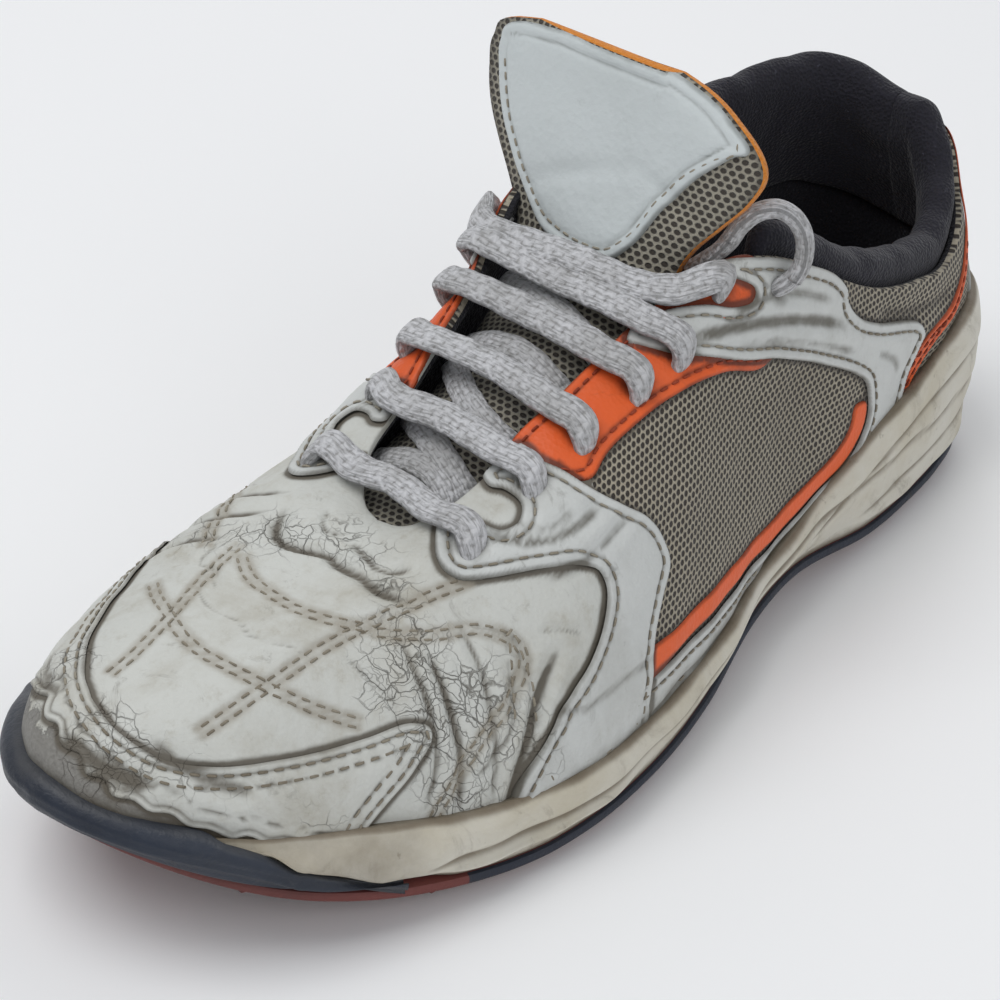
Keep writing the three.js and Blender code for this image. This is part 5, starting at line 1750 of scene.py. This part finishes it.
LOOP_POINTS, LOOP_FACES = thread_loop()


def sew(name, places, runs, normals, finish, slot="upper_leather"):
    side = unit(np.cross(normals, runs))
    up = unit(np.cross(runs, side))
    spread = LOOP_POINTS[None, :, :]
    points = (places[:, None] + runs[:, None] * spread[..., 0:1] + side[:, None] * spread[..., 1:2]
              + up[:, None] * spread[..., 2:3])
    faces = [[k + n * len(LOOP_POINTS) for k in face] for n in range(len(places)) for face in LOOP_FACES]
    flat = points.reshape(-1, 3)
    make_piece(name, flat, faces, [finish], slot, grime=np.full(len(flat), 0.25))


def seam_places(tau, h, off, pitch=3.1):
    run = run_along(last_surface(tau, h))
    even = np.arange(pitch / 2, run[-1], pitch)
    tau, h = np.interp(even, run, tau), np.interp(even, run, h)
    place, normal, *_ = worn_skin(tau, h, np.full(len(tau), off))
    ways = unit(np.stack([np.gradient(place[:, k]) for k in range(3)], axis=1))
    return place, ways, normal, h


def joined(found, count):
    return [np.concatenate([part[k] for part in found]) for k in range(count)]


SHORTEST_SEAM = 6


def panel_seam(name, height, row):
    loop = OUTLINES[name]
    one = inset_loop(loop, row)
    edge = tree_of(dense_line(loop))
    gap = distance_to(last_surface(*one.T), edge)
    keep = gap > 0.9 * row
    if name == "toe_cap":
        keep &= distance_to(last_surface(*one.T), tree_of(trace(CAP_TOP, 0.3)[2])) < row + 0.8
    cut = np.nonzero(~keep)[0]
    start = cut[0] if len(cut) else 0
    one, keep = np.roll(one, -start, axis=0), np.roll(keep, -start)
    groups, current = [], []
    for point, good in zip(one, keep):
        if good:
            current.append(point)
            continue
        groups.append(current)
        current = []
    groups.append(current)
    long = [np.array(group) for group in groups if len(group) > SHORTEST_SEAM]
    place, ways, normal, h = joined([seam_places(*group.T, height - 0.12) for group in long], 4)
    keep = h > 0.05
    return place[keep], ways[keep], normal[keep]


def all_seams():
    for thread, name in ((THREAD, "panel_stitches"), (ORANGE_THREAD, "orange_stitches")):
        found = [panel_seam(panel, height, row) for panel, _, height, _, rows, own in PANELS
                 for row in rows if own is thread]
        sew(name, *joined(found, 3), thread)
    found = [seam_places(tau, h, 0.05) for tau, h, _ in SEAM_LINES]
    sew("vamp_stitches", *joined(found, 3), THREAD)


all_seams()


def shield_seam():
    middle = tongue_skin(SHIELD_LOOP[:, 0], SHIELD_LOOP[:, 1])
    reach = np.linalg.norm(middle - tongue_skin(*SHIELD_CENTRE)[0], axis=1)
    inner = SHIELD_CENTRE + (SHIELD_LOOP - SHIELD_CENTRE) * (1 - 2.7 / reach)[:, None]
    place = tongue_skin(inner[:, 0], inner[:, 1], 0.95)
    run = run_along(place)
    even = np.arange(0, run[-1], 2.9)
    place = resample(even, run, place)
    loop_run = np.interp(even, run, inner[:, 0])
    ways = unit(np.roll(place, -1, axis=0) - np.roll(place, 1, axis=0))
    *_, face = tongue_frame(loop_run)
    keep = loop_run < RUN_TOP - 9
    sew("shield_stitches", place[keep], ways[keep], face[keep], THREAD, "tongue_leather")


shield_seam()

# %% [markdown]
# ## Light and floor
# Three large soft lamps and a pale floor: the first lamp from above and in front, the others fill.

# %% Light and floor
def soft_lamp(name, place, size, power):
    lamp = bpy.data.objects.new(name, bpy.data.lights.new(name, "AREA"))
    lamp.data.size = size
    lamp.data.energy = power
    lamp.location = place
    way = Vector((0, 0, 0.05)) - Vector(place)
    lamp.rotation_euler = way.to_track_quat("-Z", "Y").to_euler()
    bpy.context.collection.objects.link(lamp)


soft_lamp("lamp over the toe", (-0.35, -0.45, 1.25), 0.9, 8)
soft_lamp("lamp at the side", (1.2, -0.3, 0.8), 0.9, 3.5)
soft_lamp("lamp behind", (-0.6, 1.1, 0.9), 0.8, 4)
world = bpy.data.worlds.new("studio")
world.use_nodes = True
world.node_tree.nodes["Background"].inputs["Color"].default_value = (0.92, 0.95, 1, 1)
world.node_tree.nodes["Background"].inputs["Strength"].default_value = 0.42
bpy.context.scene.world = world
bpy.context.scene.view_settings.view_transform = "Standard"


def studio_floor():
    bpy.ops.mesh.primitive_plane_add(size=8)
    floor = bpy.context.object
    floor.name = "floor"
    material, tree, shader = start_material("floor paint")
    tone = blend(tree, noise(tree, object_place(tree), 0.8, 2.0), (0.93, 0.93, 0.93), (0.95, 0.95, 0.95))
    dress(tree, shader, tone, 0.9)
    floor.data.materials.append(material)


studio_floor()
